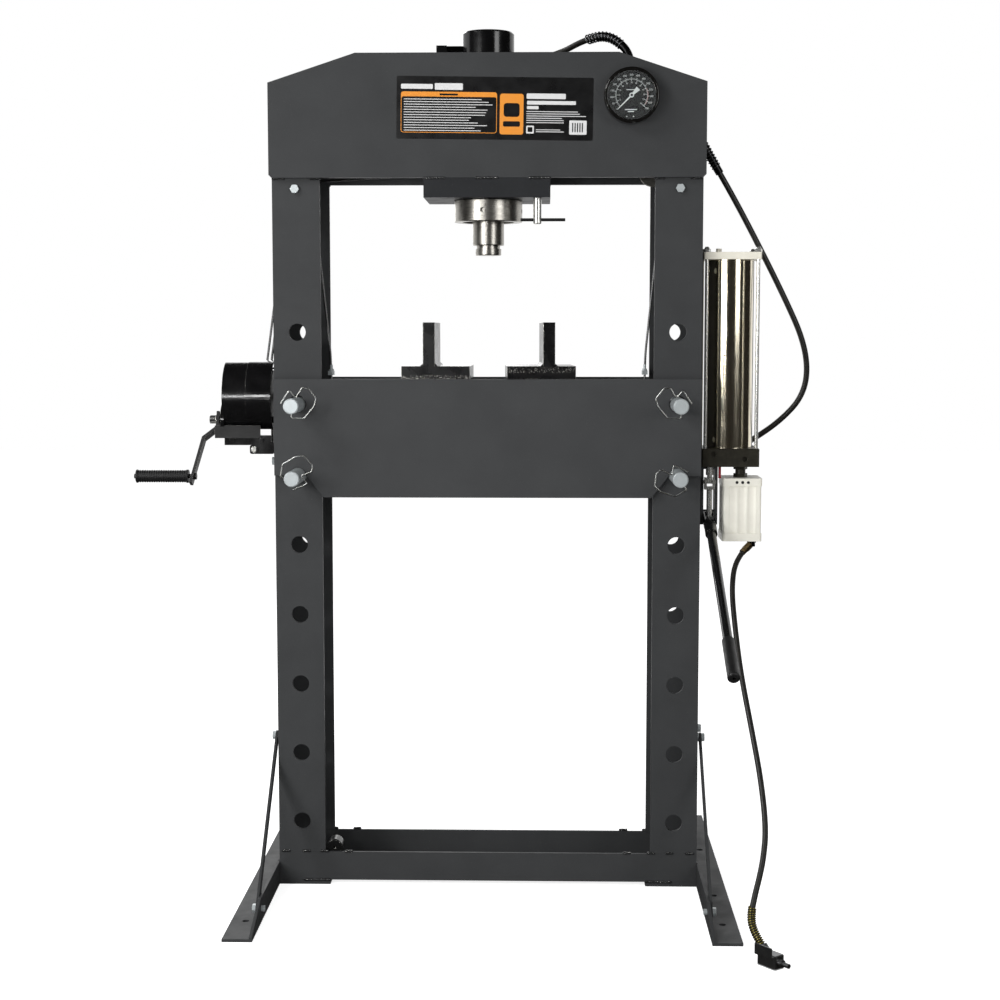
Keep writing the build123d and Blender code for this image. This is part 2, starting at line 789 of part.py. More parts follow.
# Rope drum with its flanges and gear wheel on one shaft
gear_x = side_a + side_t + 2.0
gear_w = 10.0
gear_hub_r = 16.0
flange_t = 3.0
drum_x1 = side_b - 8.0
drum_x0 = drum_x1 - drum_len
shaft_x0 = shell_x0 - 2.0
shaft_x1 = shell_x1 + 2.0
with BuildPart() as winch_drum:
    for x0, x1, r in ((shaft_x0, shaft_x1, drum_shaft_r), (gear_x, gear_x + gear_w, gear_r),
                      (gear_x + gear_w, drum_x0 - flange_t, gear_hub_r),
                      (drum_x0 - flange_t, drum_x0, flange_r), (drum_x0, drum_x1, drum_r),
                      (drum_x1, drum_x1 + flange_t, flange_r)):
        with BuildSketch(Plane.YZ.offset(x0)):
            with Locations(drum_axis):
                Circle(r)
        extrude(amount=x1 - x0)
winch_drum.part.label = "winch_drum"
export_step(winch_drum.part, "parts/winch_drum.step")

# Crank: shaft with pinion, cranked arm, pin for the grip and the shaft nut
arm_t = 6.0
arm_w = 20.0
arm_top = 16.0
arm_foot = 17.0
arm_bend_a = 22.0
arm_bend_b = 46.0
arm_kink = 28.0
arm_rake = 3.0
grip_x0 = crank_x - crank_step - 2 * arm_t
crank_pin_r = 5.0
crank_nut_r = 9.5
crank_nut_h = 14.0
lean = radians(crank_angle)
arm_dir = (0, -sin(lean), -cos(lean))
pin_y = crank_y - crank_len * sin(lean)
pin_z = crank_z - crank_len * cos(lean)
with BuildPart() as winch_crank:
    for x0, x1, r in ((crank_x - arm_t, shaft_x1, crank_shaft_r),
                      (gear_x, gear_x + gear_w, pinion_r)):
        with BuildSketch(Plane.YZ.offset(x0)):
            with Locations(crank_axis):
                Circle(r)
        extrude(amount=x1 - x0)
    with BuildSketch(Plane(origin=(crank_x, crank_y, crank_z), x_dir=arm_dir,
                           z_dir=Vector(*arm_dir).cross(Vector(1, 0, 0)))):
        with BuildLine():
            Polyline(
                (-arm_top, 0), (arm_bend_a, 0), (arm_bend_b, -arm_kink),
                (crank_len + arm_foot, -crank_step - arm_rake),
                (crank_len + arm_foot, -crank_step - arm_rake - arm_t),
                (arm_bend_b - arm_t / 2, -arm_kink - arm_t), (arm_bend_a - arm_t / 2, -arm_t),
                (-arm_top, -arm_t), close=True,
            )
        make_face()
    extrude(amount=arm_w / 2, both=True)
    with BuildSketch(Plane.YZ.offset(crank_x - arm_t)):
        with Locations(crank_axis):
            RegularPolygon(crank_nut_r, 6)
    extrude(amount=-crank_nut_h)
    with BuildSketch(Plane.YZ.offset(crank_x - crank_step)):
        with Locations((pin_y, pin_z)):
            Circle(crank_pin_r)
    extrude(amount=-(crank_step - crank_step + 2 * arm_t + grip_len + 4))
    with BuildSketch(Plane.YZ.offset(crank_x - crank_step)):
        with Locations((pin_y, pin_z)):
            RegularPolygon(8.0, 6)
    extrude(amount=5)
winch_crank.part.label = "winch_crank"
export_step(winch_crank.part, "parts/winch_crank.step")

with BuildPart() as crank_grip:
    with BuildSketch(Plane.YZ.offset(grip_x0)):
        with Locations((pin_y, pin_z)):
            Circle(grip_r)
            Circle(crank_pin_r + run_gap, mode=Mode.SUBTRACT)
    extrude(amount=-grip_len)
    for x in (grip_x0, grip_x0 - grip_len + 5):
        with BuildSketch(Plane.YZ.offset(x)):
            with Locations((pin_y, pin_z)):
                Circle(grip_r + 2)
                Circle(crank_pin_r + run_gap, mode=Mode.SUBTRACT)
        extrude(amount=-5)
crank_grip.part.label = "crank_grip"
export_step(crank_grip.part, "parts/crank_grip.step")


def tangent_line(point, centre, r, side):
    """Point and touch point of the line from a point to a circle, on one side of it."""
    dx = centre[0] - point[0]
    dz = centre[1] - point[1]
    reach = hypot(dx, dz)
    heading = atan2(dz, dx) + side * asin(r / reach)
    run = sqrt(reach * reach - r * r)
    return point, (point[0] + run * cos(heading), point[1] + run * sin(heading))


def meet(first, second):
    """Crossing point of two lines, each given by two points."""
    (x1, y1), (x2, y2) = first
    (x3, y3), (x4, y4) = second
    d = (x1 - x2) * (y3 - y4) - (y1 - y2) * (x3 - x4)
    a = x1 * y2 - y1 * x2
    b = x3 * y4 - y3 * x4
    return (a * (x3 - x4) - (x1 - x2) * b) / d, (a * (y3 - y4) - (y1 - y2) * b) / d


# Two lifting ropes: from the drum over the pulleys down to the bed
rope_end_z = spacer_z + spacer_h - 30.0
rope_knee_z = spacer_z + spacer_h + 52.0
left_wheel = (pulley_x, pulley_z)
right_wheel = (right_pulley_x, right_pulley_z)
low_z = drum_z - rope_on_drum
wind_r = rope_on_drum - 1.0
ropes = ((drum_x0 + 15.0, 0.0, -spacer_end_x), (drum_x0 + 25.0, pulley_y2, spacer_end_x))
rope_total = 0.0
rope_runs = []
for x, y, bed_x in ropes:
    rise = tangent_line((y, pulley_z), drum_axis, rope_on_drum, 1)
    turn_y = meet(rise, ((-100, low_z), (100, low_z)))[0]
    up = tangent_line((x, low_z), left_wheel, pulley_r, 1)
    if y == 0.0:
        down = tangent_line((bed_x, rope_knee_z), left_wheel, pulley_r, -1)
        crest = ((web_x, pulley_z + pulley_r), (-web_x, pulley_z + pulley_r))
    else:
        slope = atan2(right_pulley_z - pulley_z, right_pulley_x - pulley_x)
        n = (-sin(slope) * pulley_r, cos(slope) * pulley_r)
        down = tangent_line((bed_x, rope_knee_z), right_wheel, pulley_r, -1)
        crest = ((pulley_x + n[0], pulley_z + n[1]),
                 (right_pulley_x + n[0], right_pulley_z + n[1]))
    tops = [meet(up, crest), meet(crest, down)]
    route = [(x - 6, 0, drum_z + rope_on_drum),
             (x - 6, -rope_on_drum, drum_z + rope_on_drum),
             (x - 3, -rope_on_drum, low_z),
             (x, turn_y, low_z)]
    route += [(tx, y, tz) for tx, tz in tops]
    route += [(bed_x, y, rope_knee_z), (bed_x, y, rope_end_z)]
    arcs = [wind_r, wind_r, wind_r, pulley_r - 1.0, pulley_r - 1.0, 60.0]
    with BuildLine() as rope_line:
        FilletPolyline(*route, radius=arcs)
    rope_runs += rope_line.edges()
    rope_total += cord_length(route, arcs)
    print("rope length", round(cord_length(route, arcs)))
with BuildPart() as lift_ropes:
    for run in rope_runs:
        with BuildSketch(Plane(origin=run @ 0, z_dir=run % 0)):
            Circle(rope_r)
        sweep(path=run)
print("rope volume ratio",
      round(lift_ropes.part.volume / (3.14159265 * rope_r ** 2 * rope_total), 4))
lift_ropes.part.label = "lift_ropes"
export_step(lift_ropes.part, "parts/lift_ropes.step")

# Pulleys: the left one has a groove for each rope
groove_r = pulley_r - rope_r - gap
for label, wheel, grooves in (("left_pulley", left_wheel, (0.0, pulley_y2)),
                              ("right_pulley", right_wheel, (pulley_y2,))):
    with BuildPart() as pulley:
        for y in grooves:
            for y0, width, r in ((y - 8, 2, 31), (y - 6, 12, groove_r), (y + 6, 2, 31)):
                with BuildSketch(Plane.XZ.offset(-y0)):
                    with Locations(wheel):
                        Circle(r)
                extrude(amount=-width)
        if len(grooves) > 1:
            with BuildSketch(Plane.XZ.offset(-grooves[0])):
                with Locations(wheel):
                    Circle(11)
            extrude(amount=-(grooves[1] - grooves[0]))
        with BuildSketch(Plane.XZ.offset(post_face)):
            with Locations(wheel):
                Circle(bolt_r + run_gap)
        extrude(amount=-post_d, mode=Mode.SUBTRACT)
    pulley.part.label = label
    export_step(pulley.part, "parts/" + label + ".step")

# Fixings: bolts of the braces, winch, pump and pulleys, and the two rope clips
with BuildPart() as frame_bolts:
    for side in (-1, 1):
        out = side * (brace_x + brace_t)
        for end in (-1, 1):
            spots = ((end * brace_top_y, brace_top_z, brace_t + foot_t + post_t),
                     (end * (brace_foot_y), brace_foot_z, brace_t + foot_t))
            for y, z, grip in spots:
                with BuildSketch(Plane.YZ.offset(out)):
                    with Locations((y, z)):
                        RegularPolygon(bolt_head_r, 6)
                extrude(amount=side * bolt_head_h)
                with BuildSketch(Plane.YZ.offset(out)):
                    with Locations((y, z)):
                        Circle(bolt_r)
                extrude(amount=-side * (grip + bolt_head_h))
            with BuildSketch(Plane.YZ.offset(side * frame_w / 2)):
                with Locations((end * brace_top_y, brace_top_z)):
                    Circle(bolt_head_r)
            extrude(amount=side * foot_t)
    for y in (-web_bolt_y, web_bolt_y):
        with BuildSketch(Plane.YZ.offset(-frame_w / 2 - winch_plate_t)):
            with Locations((y, winch_bolt_z)):
                RegularPolygon(bolt_head_r, 6)
        extrude(amount=-bolt_head_h)
        with BuildSketch(Plane.YZ.offset(-frame_w / 2 - winch_plate_t)):
            with Locations((y, winch_bolt_z)):
                Circle(bolt_r)
        extrude(amount=winch_plate_t + post_t + bolt_head_h)
        for z in pump_bolt_z:
            with BuildSketch(Plane.YZ.offset(frame_w / 2 - post_t)):
                with Locations((y, z)):
                    RegularPolygon(bolt_head_r, 6)
            extrude(amount=-bolt_head_h)
            with BuildSketch(Plane.YZ.offset(frame_w / 2 - post_t)):
                with Locations((y, z)):
                    Circle(bolt_r)
            extrude(amount=post_t + pump_plate_t)
    for x in (-abs(pulley_x), abs(pulley_x)):
        with BuildSketch(Plane.XZ.offset(post_face)):
            with Locations((x, pulley_z)):
                RegularPolygon(bolt_head_r, 6)
        extrude(amount=bolt_head_h)
        with BuildSketch(Plane.XZ.offset(post_face)):
            with Locations((x, pulley_z)):
                Circle(bolt_r)
        extrude(amount=-(post_d + bolt_head_h))
        with BuildSketch(Plane.XZ.offset(-post_face)):
            with Locations((x, pulley_z)):
                RegularPolygon(bolt_head_r, 6)
        extrude(amount=-bolt_head_h)
    with BuildSketch(Plane.XZ.offset(-plate_face)):
        with Locations((right_pulley_x, right_pulley_z)):
            RegularPolygon(bolt_head_r, 6)
    extrude(amount=-bolt_head_h)
    with BuildSketch(Plane.XZ.offset(-plate_face)):
        with Locations((right_pulley_x, right_pulley_z)):
            Circle(bolt_r)
    extrude(amount=plate_face - pulley_y2 + 14)
    with BuildSketch(Plane.XZ.offset(-pulley_y2 + 10)):
        with Locations((right_pulley_x, right_pulley_z)):
            Circle(bolt_head_r)
    extrude(amount=4)
    for x, y in ((-spacer_end_x, 0), (spacer_end_x, pulley_y2)):
        with BuildSketch(Plane.XY.offset(spacer_z + spacer_h + 20)):
            with Locations((x, y)):
                Rectangle(12, 24)
                Circle(rope_r + run_gap, mode=Mode.SUBTRACT)
        extrude(amount=9)
        for dy in (-8, 8):
            with BuildSketch(Plane.XY.offset(spacer_z + spacer_h + 29)):
                with Locations((x, y + dy)):
                    RegularPolygon(4.5, 6)
            extrude(amount=4)
            with BuildSketch(Plane.XY.offset(spacer_z + spacer_h + 33)):
                with Locations((x, y + dy)):
                    Circle(2.2)
            extrude(amount=9)
frame_bolts.part.label = "frame_bolts"
export_step(frame_bolts.part, "parts/frame_bolts.step")

# Pump: bracket plate on the web with the cheeks and pin of the lever
pump_left = pump_x - pump_w / 2
pump_front = pump_y - pump_w / 2
cheek_t = 6.0
cheek_w = 40.0
cheek_z0 = 780.0
cheek_y = lever_pivot_y + 1.4
cheek_b = pump_left + 30.0
pump_plate_w = 110.0
plate_z0 = blk_z0 - 10.0
plate_z1 = cap_z0 + cap_h
pivot_r = 6.0
plunger_y = lever_pivot_y - lever_reach * cos(radians(lever_sag))
link_z = lever_z - lever_reach * sin(radians(lever_sag))
plunger_clear = 1.2
with BuildPart() as pump_bracket:
    with BuildSketch(Plane.YZ.offset(frame_w / 2)):
        with Locations((0, (plate_z0 + plate_z1) / 2)):
            Rectangle(pump_plate_w, plate_z1 - plate_z0)
        with Locations((-5, (plate_z0 + cheek_z0) / 2)):
            Rectangle(cheek_w, plate_z0 - cheek_z0 + over)
        for z in pump_bolt_z:
            for y in (-web_bolt_y, web_bolt_y):
                with Locations((y, z)):
                    Circle(bolt_r + run_gap, mode=Mode.SUBTRACT)
    extrude(amount=pump_plate_t)
    with BuildSketch(Plane.YZ.offset(pump_left)):
        with Locations((cheek_y, (blk_z0 + cheek_z0) / 2)):
            Rectangle(cheek_w, blk_z0 - cheek_z0)
    extrude(amount=cheek_t)
    with BuildSketch(Plane.YZ.offset(cheek_b)):
        with Locations((cheek_y, (blk_z0 + cheek_z0) / 2)):
            Rectangle(cheek_w, blk_z0 - cheek_z0)
    extrude(amount=cheek_t)
    with BuildSketch(Plane.XY.offset(blk_z0 - cheek_t)):
        with Locations(((pump_left + cheek_b + cheek_t) / 2, cheek_y)):
            Rectangle(cheek_b + cheek_t - pump_left, cheek_w)
        with Locations((lever_x, plunger_y)):
            Circle(plunger_r + plunger_clear, mode=Mode.SUBTRACT)
    extrude(amount=cheek_t)
    with BuildSketch(Plane.YZ.offset(pump_left)):
        with Locations((lever_pivot_y, lever_z)):
            Circle(pivot_r)
    extrude(amount=cheek_b + cheek_t - pump_left)
pump_bracket.part.label = "pump_bracket"
export_step(pump_bracket.part, "parts/pump_bracket.step")

# Valve block with the neck of the air motor under it
rod_spots = [(pump_x + sx * rod_off, pump_y + sy * rod_off) for sx in (-1, 1) for sy in (-1, 1)]
with BuildPart() as pump_block:
    with BuildSketch(Plane.XY.offset(blk_z0)):
        with Locations((pump_x, pump_y)):
            RectangleRounded(pump_w, pump_w, 4)
    extrude(amount=blk_z1 - blk_z0)
    chamfer(pump_block.faces().sort_by(Axis.Z)[-1].edges(), 1.5)
    with BuildSketch(Plane.XY.offset(blk_z0)):
        with Locations((motor_x, motor_y)):
            Circle(neck_r - 4)
    extrude(amount=-(blk_z0 - motor_z0 - motor_h))
    for z, r in ((blk_z0 - 8, neck_r), (motor_z0 + motor_h, neck_r)):
        with BuildSketch(Plane.XY.offset(z)):
            with Locations((motor_x, motor_y)):
                RegularPolygon(r, 6)
        extrude(amount=8)
    with BuildSketch(Plane.XY.offset(blk_z0)):
        with Locations((lever_x, plunger_y)):
            Circle(plunger_r + run_gap)
    extrude(amount=33, mode=Mode.SUBTRACT)
    with BuildSketch(Plane.XY.offset(blk_z1 - 12)):
        with Locations(*rod_spots):
            Circle(rod_r + run_gap)
    extrude(amount=12, mode=Mode.SUBTRACT)
    with BuildSketch(Plane.XZ.offset(-pump_front)):
        with Locations((pump_x - 36, blk_z0 + 27), (pump_x + 30, blk_z0 + 17)):
            Circle(5.5)
    extrude(amount=-7, mode=Mode.SUBTRACT)
pump_block.part.label = "pump_block"
export_step(pump_block.part, "parts/pump_block.step")

with BuildPart() as reservoir_tube:
    with BuildSketch(Plane.XY.offset(blk_z1)):
        with Locations((pump_x, pump_y)):
            Circle(tank_r)
            Circle(tank_r - tank_t, mode=Mode.SUBTRACT)
    extrude(amount=cap_z0 - blk_z1)
reservoir_tube.part.label = "reservoir_tube"
export_step(reservoir_tube.part, "parts/reservoir_tube.step")

with BuildPart() as pump_cap:
    with BuildSketch(Plane.XY.offset(cap_z0)):
        with Locations((pump_x, pump_y)):
            RectangleRounded(pump_w, pump_w, 4)
        with Locations(*rod_spots):
            Circle(rod_r + run_gap, mode=Mode.SUBTRACT)
    extrude(amount=cap_h)
    with BuildSketch(Plane.XY.offset(cap_z0 + cap_h)):
        with Locations((pump_x - 27, pump_y - 30)):
            RegularPolygon(6, 6)
    extrude(amount=8)
pump_cap.part.label = "pump_cap"
export_step(pump_cap.part, "parts/pump_cap.step")

# Tie rods screwed into the block, with domed nuts on the cap
with BuildPart() as pump_tie_rods:
    for spot in rod_spots:
        with BuildSketch(Plane.XY.offset(blk_z1 - 11)):
            with Locations(spot):
                Circle(rod_r)
        extrude(amount=cap_z0 + cap_h - blk_z1 + 14)
        with BuildSketch(Plane.XY.offset(cap_z0 + cap_h)):
            with Locations(spot):
                RegularPolygon(8, 6)
        extrude(amount=6)
        with BuildSketch(Plane.XY.offset(cap_z0 + cap_h + 6)):
            with Locations(spot):
                Circle(6.5)
        extrude(amount=5, taper=30)
pump_tie_rods.part.label = "pump_tie_rods"
export_step(pump_tie_rods.part, "parts/pump_tie_rods.step")

# Plunger with its fork, link rod and cross pin
fork_z0 = 856.0
fork_z1 = 882.0
fork_w = 22.0
plunger_neck_r = plunger_r - 2.7
with BuildPart() as pump_plunger:
    with BuildSketch(Plane.XY.offset(fork_z0)):
        with Locations((lever_x, plunger_y)):
            Rectangle(fork_w, 18)
    extrude(amount=fork_z1 - fork_z0)
    with BuildSketch(Plane.XY.offset(fork_z0 + 7)):
        with Locations((lever_x, plunger_y)):
            Rectangle(fork_w - 10, 18 + over)
    extrude(amount=fork_z1 - fork_z0, mode=Mode.SUBTRACT)
    with BuildSketch(Plane.XY.offset(fork_z0 + 7 + 8)):
        with Locations((lever_x, plunger_y)):
            Circle(plunger_neck_r)
    extrude(amount=fork_z1 - fork_z0 - 10)
    with BuildSketch(Plane.XY.offset(fork_z1 + 5)):
        with Locations((lever_x, plunger_y)):
            Circle(plunger_r)
    extrude(amount=blk_z0 + 4 - (fork_z1 + 5))
    with BuildSketch(Plane.YZ.offset(lever_x - fork_w / 2 - 3)):
        with Locations((plunger_y, fork_z1 - 10)):
            Circle(4)
    extrude(amount=fork_w + 6)
    with BuildSketch(Plane.XY.offset(link_z)):
        with Locations((lever_x, plunger_y)):
            Circle(link_r)
    extrude(amount=fork_z0 - link_z)
    with BuildSketch(Plane.YZ.offset(lever_x - 11)):
        with Locations((plunger_y, link_z)):
            Circle(4.0)
    extrude(amount=22)
    with BuildSketch(Plane.YZ.offset(lever_x - link_r)):
        with Locations((plunger_y, link_z)):
            Circle(8.0)
    extrude(amount=2 * link_r)
pump_plunger.part.label = "pump_plunger"
export_step(pump_plunger.part, "parts/pump_plunger.step")

# Lever: hub and cheeks between the bracket's cheeks, socket and bar
drop = radians(handle_drop)
lever_dir = (0, -cos(drop), -sin(drop))
lever_start = (lever_x, plunger_y - 22, link_z - 9)
hub_a = pump_left + cheek_t + gap
hub_b = cheek_b - gap
cheek_in = 5.5
with BuildPart() as pump_lever:
    with BuildSketch(Plane.YZ.offset(hub_a)):
        with Locations((lever_pivot_y, lever_z)):
            Circle(11)
        with BuildLine():
            Polyline(
                (lever_pivot_y, lever_z + 10), (lever_pivot_y, lever_z - 10),
                (plunger_y - 8, link_z - 18), (plunger_y - 32, link_z - 20),
                (plunger_y - 32, link_z + 2), (plunger_y, link_z + 11), close=True,
            )
        make_face()
        with Locations((lever_pivot_y, lever_z)):
            Circle(pivot_r + run_gap, mode=Mode.SUBTRACT)
        with Locations((plunger_y, link_z)):
            SlotOverall(14, 9, mode=Mode.SUBTRACT)
    extrude(amount=hub_b - hub_a)
    with BuildSketch(Plane.YZ.offset(lever_x - 9)):
        with Locations((plunger_y - 2, link_z + 2)):
            Rectangle(26, 40)
    extrude(amount=18, mode=Mode.SUBTRACT)
    with BuildSketch(Plane(origin=lever_start, z_dir=lever_dir)):
        Circle(13)
    extrude(amount=42)
    with BuildSketch(Plane(origin=lever_start, z_dir=lever_dir)):
        Circle(handle_r)
    extrude(amount=handle_len - lever_grip_end - 2)
pump_lever.part.label = "pump_lever"
export_step(pump_lever.part, "parts/pump_lever.step")

grip_plane = Plane(origin=Vector(*lever_start) + Vector(*lever_dir) * (handle_len - lever_grip_len),
                   z_dir=lever_dir)
with BuildPart() as lever_grip:
    with BuildSketch(grip_plane):
        Circle(lever_grip_r)
    extrude(amount=lever_grip_len)
    fillet(lever_grip.edges().filter_by(GeomType.CIRCLE).sort_by(Axis.Z)[:1], lever_grip_end / 2)
    with BuildSketch(grip_plane):
        Circle(handle_vent_r)
    extrude(amount=lever_grip_len, mode=Mode.SUBTRACT)
    with BuildSketch(grip_plane):
        Circle(handle_r + run_gap)
    extrude(amount=lever_grip_len - lever_grip_end, mode=Mode.SUBTRACT)
lever_grip.part.label = "lever_grip"
export_step(lever_grip.part, "parts/lever_grip.step")

# Air motor: fluted body between two end caps
motor_top = motor_z0 + motor_h
with BuildPart() as air_motor:
    for z in (motor_z0, motor_top - motor_cap_h):
        with BuildSketch(Plane.XY.offset(z)):
            with Locations((motor_x, motor_y)):
                RectangleRounded(motor_w, motor_d, 6)
        extrude(amount=motor_cap_h)
    with BuildSketch(Plane.XY.offset(motor_z0 + motor_cap_h)):
        with Locations((motor_x, motor_y)):
            RectangleRounded(motor_w - 3, motor_d - 3, 5)
        for i in (-1, 1):
            for u in (-1, 0, 1):
                with Locations((motor_x + u * 20, motor_y + i * (motor_d / 2 + 12))):
                    Circle(16, mode=Mode.SUBTRACT)
                with Locations((motor_x + i * (motor_w / 2 + 12), motor_y + u * 22)):
                    Circle(16, mode=Mode.SUBTRACT)
    extrude(amount=motor_h - 2 * motor_cap_h)
    with BuildSketch(Plane.XZ.offset(-motor_y + motor_d / 2)):
        with Locations(*[(motor_x + u * 12, motor_top - motor_cap_h / 2) for u in (-1, 0, 1)]):
            Circle(2.5)
    extrude(amount=-6, mode=Mode.SUBTRACT)
air_motor.part.label = "air_motor"
export_step(air_motor.part, "parts/air_motor.step")

with BuildPart() as release_knob:
    with BuildSketch(Plane.XY.offset(blk_z0)):
        with Locations((pump_x - 20.5, pump_y - 35)):
            Circle(3.0)
    extrude(amount=-26)
release_knob.part.label = "release_knob"
export_step(release_knob.part, "parts/release_knob.step")

# Hydraulic hoses: pump to gauge tee, gauge tee to the cylinder
tee = (gauge_x, -plate_face + gauge_stem_l + tee_r, gauge_z)
elbow_y = 84.0
elbow_z = 925.0
upper_start = (-cyl_r - 43.5, 25.0, port_z)
main_route = [(gauge_x + tee_r + 14, tee[1], gauge_z), (385, -30, 1672), (430, -2, 1632),
              (470, 20, 1568), (522, 31, 1483), (575, 37, 1387), (640, 43, 1262),
              (682, 50, 1172), (694, 58, 1100), (680, 66, 1045), (640, 74, 1000),
              (594, 80, 965), (555.5, elbow_y, 941)]
upper_route = [upper_start, (upper_start[0], 165, port_z), (48, 165, port_z),
               (148, 75, port_z + 9), (205, 0, 1806), (255, -26, 1812), (300, tee[1], 1772),
               (gauge_x, tee[1], gauge_z + 38)]
for label, route, r in (("main_hose", main_route, hose_r), ("upper_hose", upper_route, hose_r)):
    arcs = cord_radii(route)
    with BuildPart() as hose:
        with BuildLine():
            FilletPolyline(*route, radius=arcs)
        with BuildSketch(start_plane(route)):
            Circle(r)
        sweep()
    length = cord_length(route, arcs)
    print(label, "length", round(length), "radii", [round(a) for a in arcs],
          "volume ratio", round(hose.part.volume / (3.14159265 * r * r * length), 4))
    hose.part.label = label
    export_step(hose.part, "parts/" + label + ".step")


def between(a, b, t):
    """Point at the fraction t of the way from a to b."""
    return tuple(p + (q - p) * t for p, q in zip(a, b))


# Air hose from the motor down to the valve on the floor
elbow = (568.0, -12.0, 737.0)
air_second = (531.0, -47.0, 707.0)
air_aim = (Vector(*air_second) - Vector(*elbow)).normalized()
air_start = tuple(Vector(*elbow) + air_aim * 20)
air_route = [air_start, air_second, (517, -98, 653), (519, -160, 577), (525, -225, 492),
             (539, -298, 397), (552, -366, 305), (556, -424, 222), (547, -458, 172),
             (536, -482, 138), (526, -501, 112), (521, -513, 95)]
arcs = cord_radii(air_route)
with BuildPart() as air_hose:
    with BuildLine():
        FilletPolyline(*air_route, radius=arcs)
    with BuildSketch(start_plane(air_route)):
        Circle(air_r)
    sweep()
length = cord_length(air_route, arcs)
print("air_hose length", round(length), "radii", [round(a) for a in arcs],
      "volume ratio", round(air_hose.part.volume / (3.14159265 * air_r * air_r * length), 4))
air_hose.part.label = "air_hose"
export_step(air_hose.part, "parts/air_hose.step")

hose_end = Vector(*air_route[-1])
end_dir = (hose_end - Vector(*air_route[-2])).normalized()
guard_route = [tuple(hose_end), tuple(hose_end + end_dir * 22), (522, -542, 53), (535, -556, 34)]
with BuildPart() as air_hose_guard:
    with BuildLine():
        FilletPolyline(*guard_route, radius=cord_radii(guard_route))
    with BuildSketch(start_plane(guard_route)):
        Circle(air_r + 1.6)
    sweep()
air_hose_guard.part.label = "air_hose_guard"
export_step(air_hose_guard.part, "parts/air_hose_guard.step")

# Air valve lying on the floor: body, socket for the hose, nipple for the supply
valve_u = Vector(0.62, -0.7846, 0)
valve_at = (549.0, -572.0, 0.0)
in_dir = (Vector(*guard_route[3]) - Vector(*guard_route[2])).normalized()
with BuildPart() as air_valve:
    with BuildSketch(Plane(origin=valve_at, x_dir=valve_u)):
        RectangleRounded(48, 26, 4)
    extrude(amount=27)
    chamfer(air_valve.faces().sort_by(Axis.Z)[-1].edges(), 2)
    with BuildSketch(Plane(origin=guard_route[3], z_dir=in_dir)):
        Circle(10)
    extrude(amount=18)
    with BuildSketch(Plane(origin=tuple(Vector(*valve_at) + valve_u * 22 + Vector(0, 0, 13)),
                           z_dir=valve_u)):
        Circle(7.5)
    extrude(amount=10)
    with BuildSketch(Plane(origin=tuple(Vector(*valve_at) + valve_u * 30 + Vector(0, 0, 13)),
                           z_dir=valve_u)):
        Circle(4.5)
    extrude(amount=18)
air_valve.part.label = "air_valve"
export_step(air_valve.part, "parts/air_valve.step")

# Lever plate of the valve, hinged on the upper edge of the body
valve_side = Vector(-0.7846, -0.62, 0)
plate_foot = Vector(*valve_at) + valve_side * 15.8 + Vector(0, 0, 24)
with BuildPart() as valve_lever:
    with BuildSketch(Plane(origin=tuple(plate_foot - valve_u * 22), x_dir=valve_side,
                           z_dir=valve_u)):
        Circle(2.6)
        with Locations((4, -10)):
            Rectangle(2.5, 20)
        with Locations((2, 0)):
            Rectangle(6.5, 2.5)
    extrude(amount=44)
valve_lever.part.label = "valve_lever"
export_step(valve_lever.part, "parts/valve_lever.step")

# Spring guards over the hoses where they leave the head and the tee
guard_out = hose_r + 2.4
# Fittings: gauge tee, cylinder elbow, block elbow and motor elbow
with BuildPart() as hose_fittings:
    with Locations((tee[0], tee[1], tee[2])):
        Box(2 * tee_r, 2 * tee_r, 50)
    for end, near in ((upper_route[-1], upper_route[-2]), (main_route[0], main_route[1])):
        with BuildSketch(Plane(origin=end, z_dir=Vector(*end) - Vector(*near))):
            Circle(9)
        extrude(amount=20)
    with BuildSketch(Plane.YZ.offset(-cyl_r)):
        with Locations((0, port_z)):
            RegularPolygon(12, 6)
    extrude(amount=-34)
    with Locations((-cyl_r - 43.5, 0, port_z)):
        Box(22, 24, 22)
    with BuildSketch(Plane.XZ.offset(-12)):
        with Locations((-cyl_r - 43.5, port_z)):
            Circle(9)
    extrude(amount=-13)
    with BuildSketch(Plane.XZ.offset(pump_front)):
        with Locations((pump_x + 14, elbow_z)):
            RegularPolygon(11, 6)
    extrude(amount=-(elbow_y - pump_w / 2 + 9))
    with BuildSketch(Plane(origin=main_route[-1],
                           z_dir=Vector(*main_route[-1]) - Vector(*main_route[-2]))):
        Circle(9)
    extrude(amount=30)
    with BuildSketch(Plane.XY.offset(motor_z0)):
        with Locations((elbow[0], elbow[1])):
            RegularPolygon(10, 6)
    extrude(amount=-8)
    with BuildSketch(Plane.XY.offset(elbow[2])):
        with Locations((elbow[0], elbow[1])):
            Circle(8)
    extrude(amount=-7)
    with BuildSketch(Plane(origin=elbow, z_dir=air_aim)):
        Circle(7.5)
    extrude(amount=20)
    for route, k, t0, t1 in ((main_route, 3, 0.54, 0.47), (upper_route, 5, 0.54, 0.5)):
        arcs = cord_radii(route)
        last = k + 1 if k == 3 else k + 2
        guard = [between(route[k - 1], route[k], t0)] + route[k:last]
        guard.append(between(route[last - 1], route[last], t1))
        with BuildLine():
            FilletPolyline(*guard, radius=arcs[k - 1:last - 1])
        with BuildSketch(start_plane(guard)):
            Circle(guard_out)
            Circle(hose_r + run_gap, mode=Mode.SUBTRACT)
        sweep()
hose_fittings.part.label = "hose_fittings"
export_step(hose_fittings.part, "parts/hose_fittings.step")
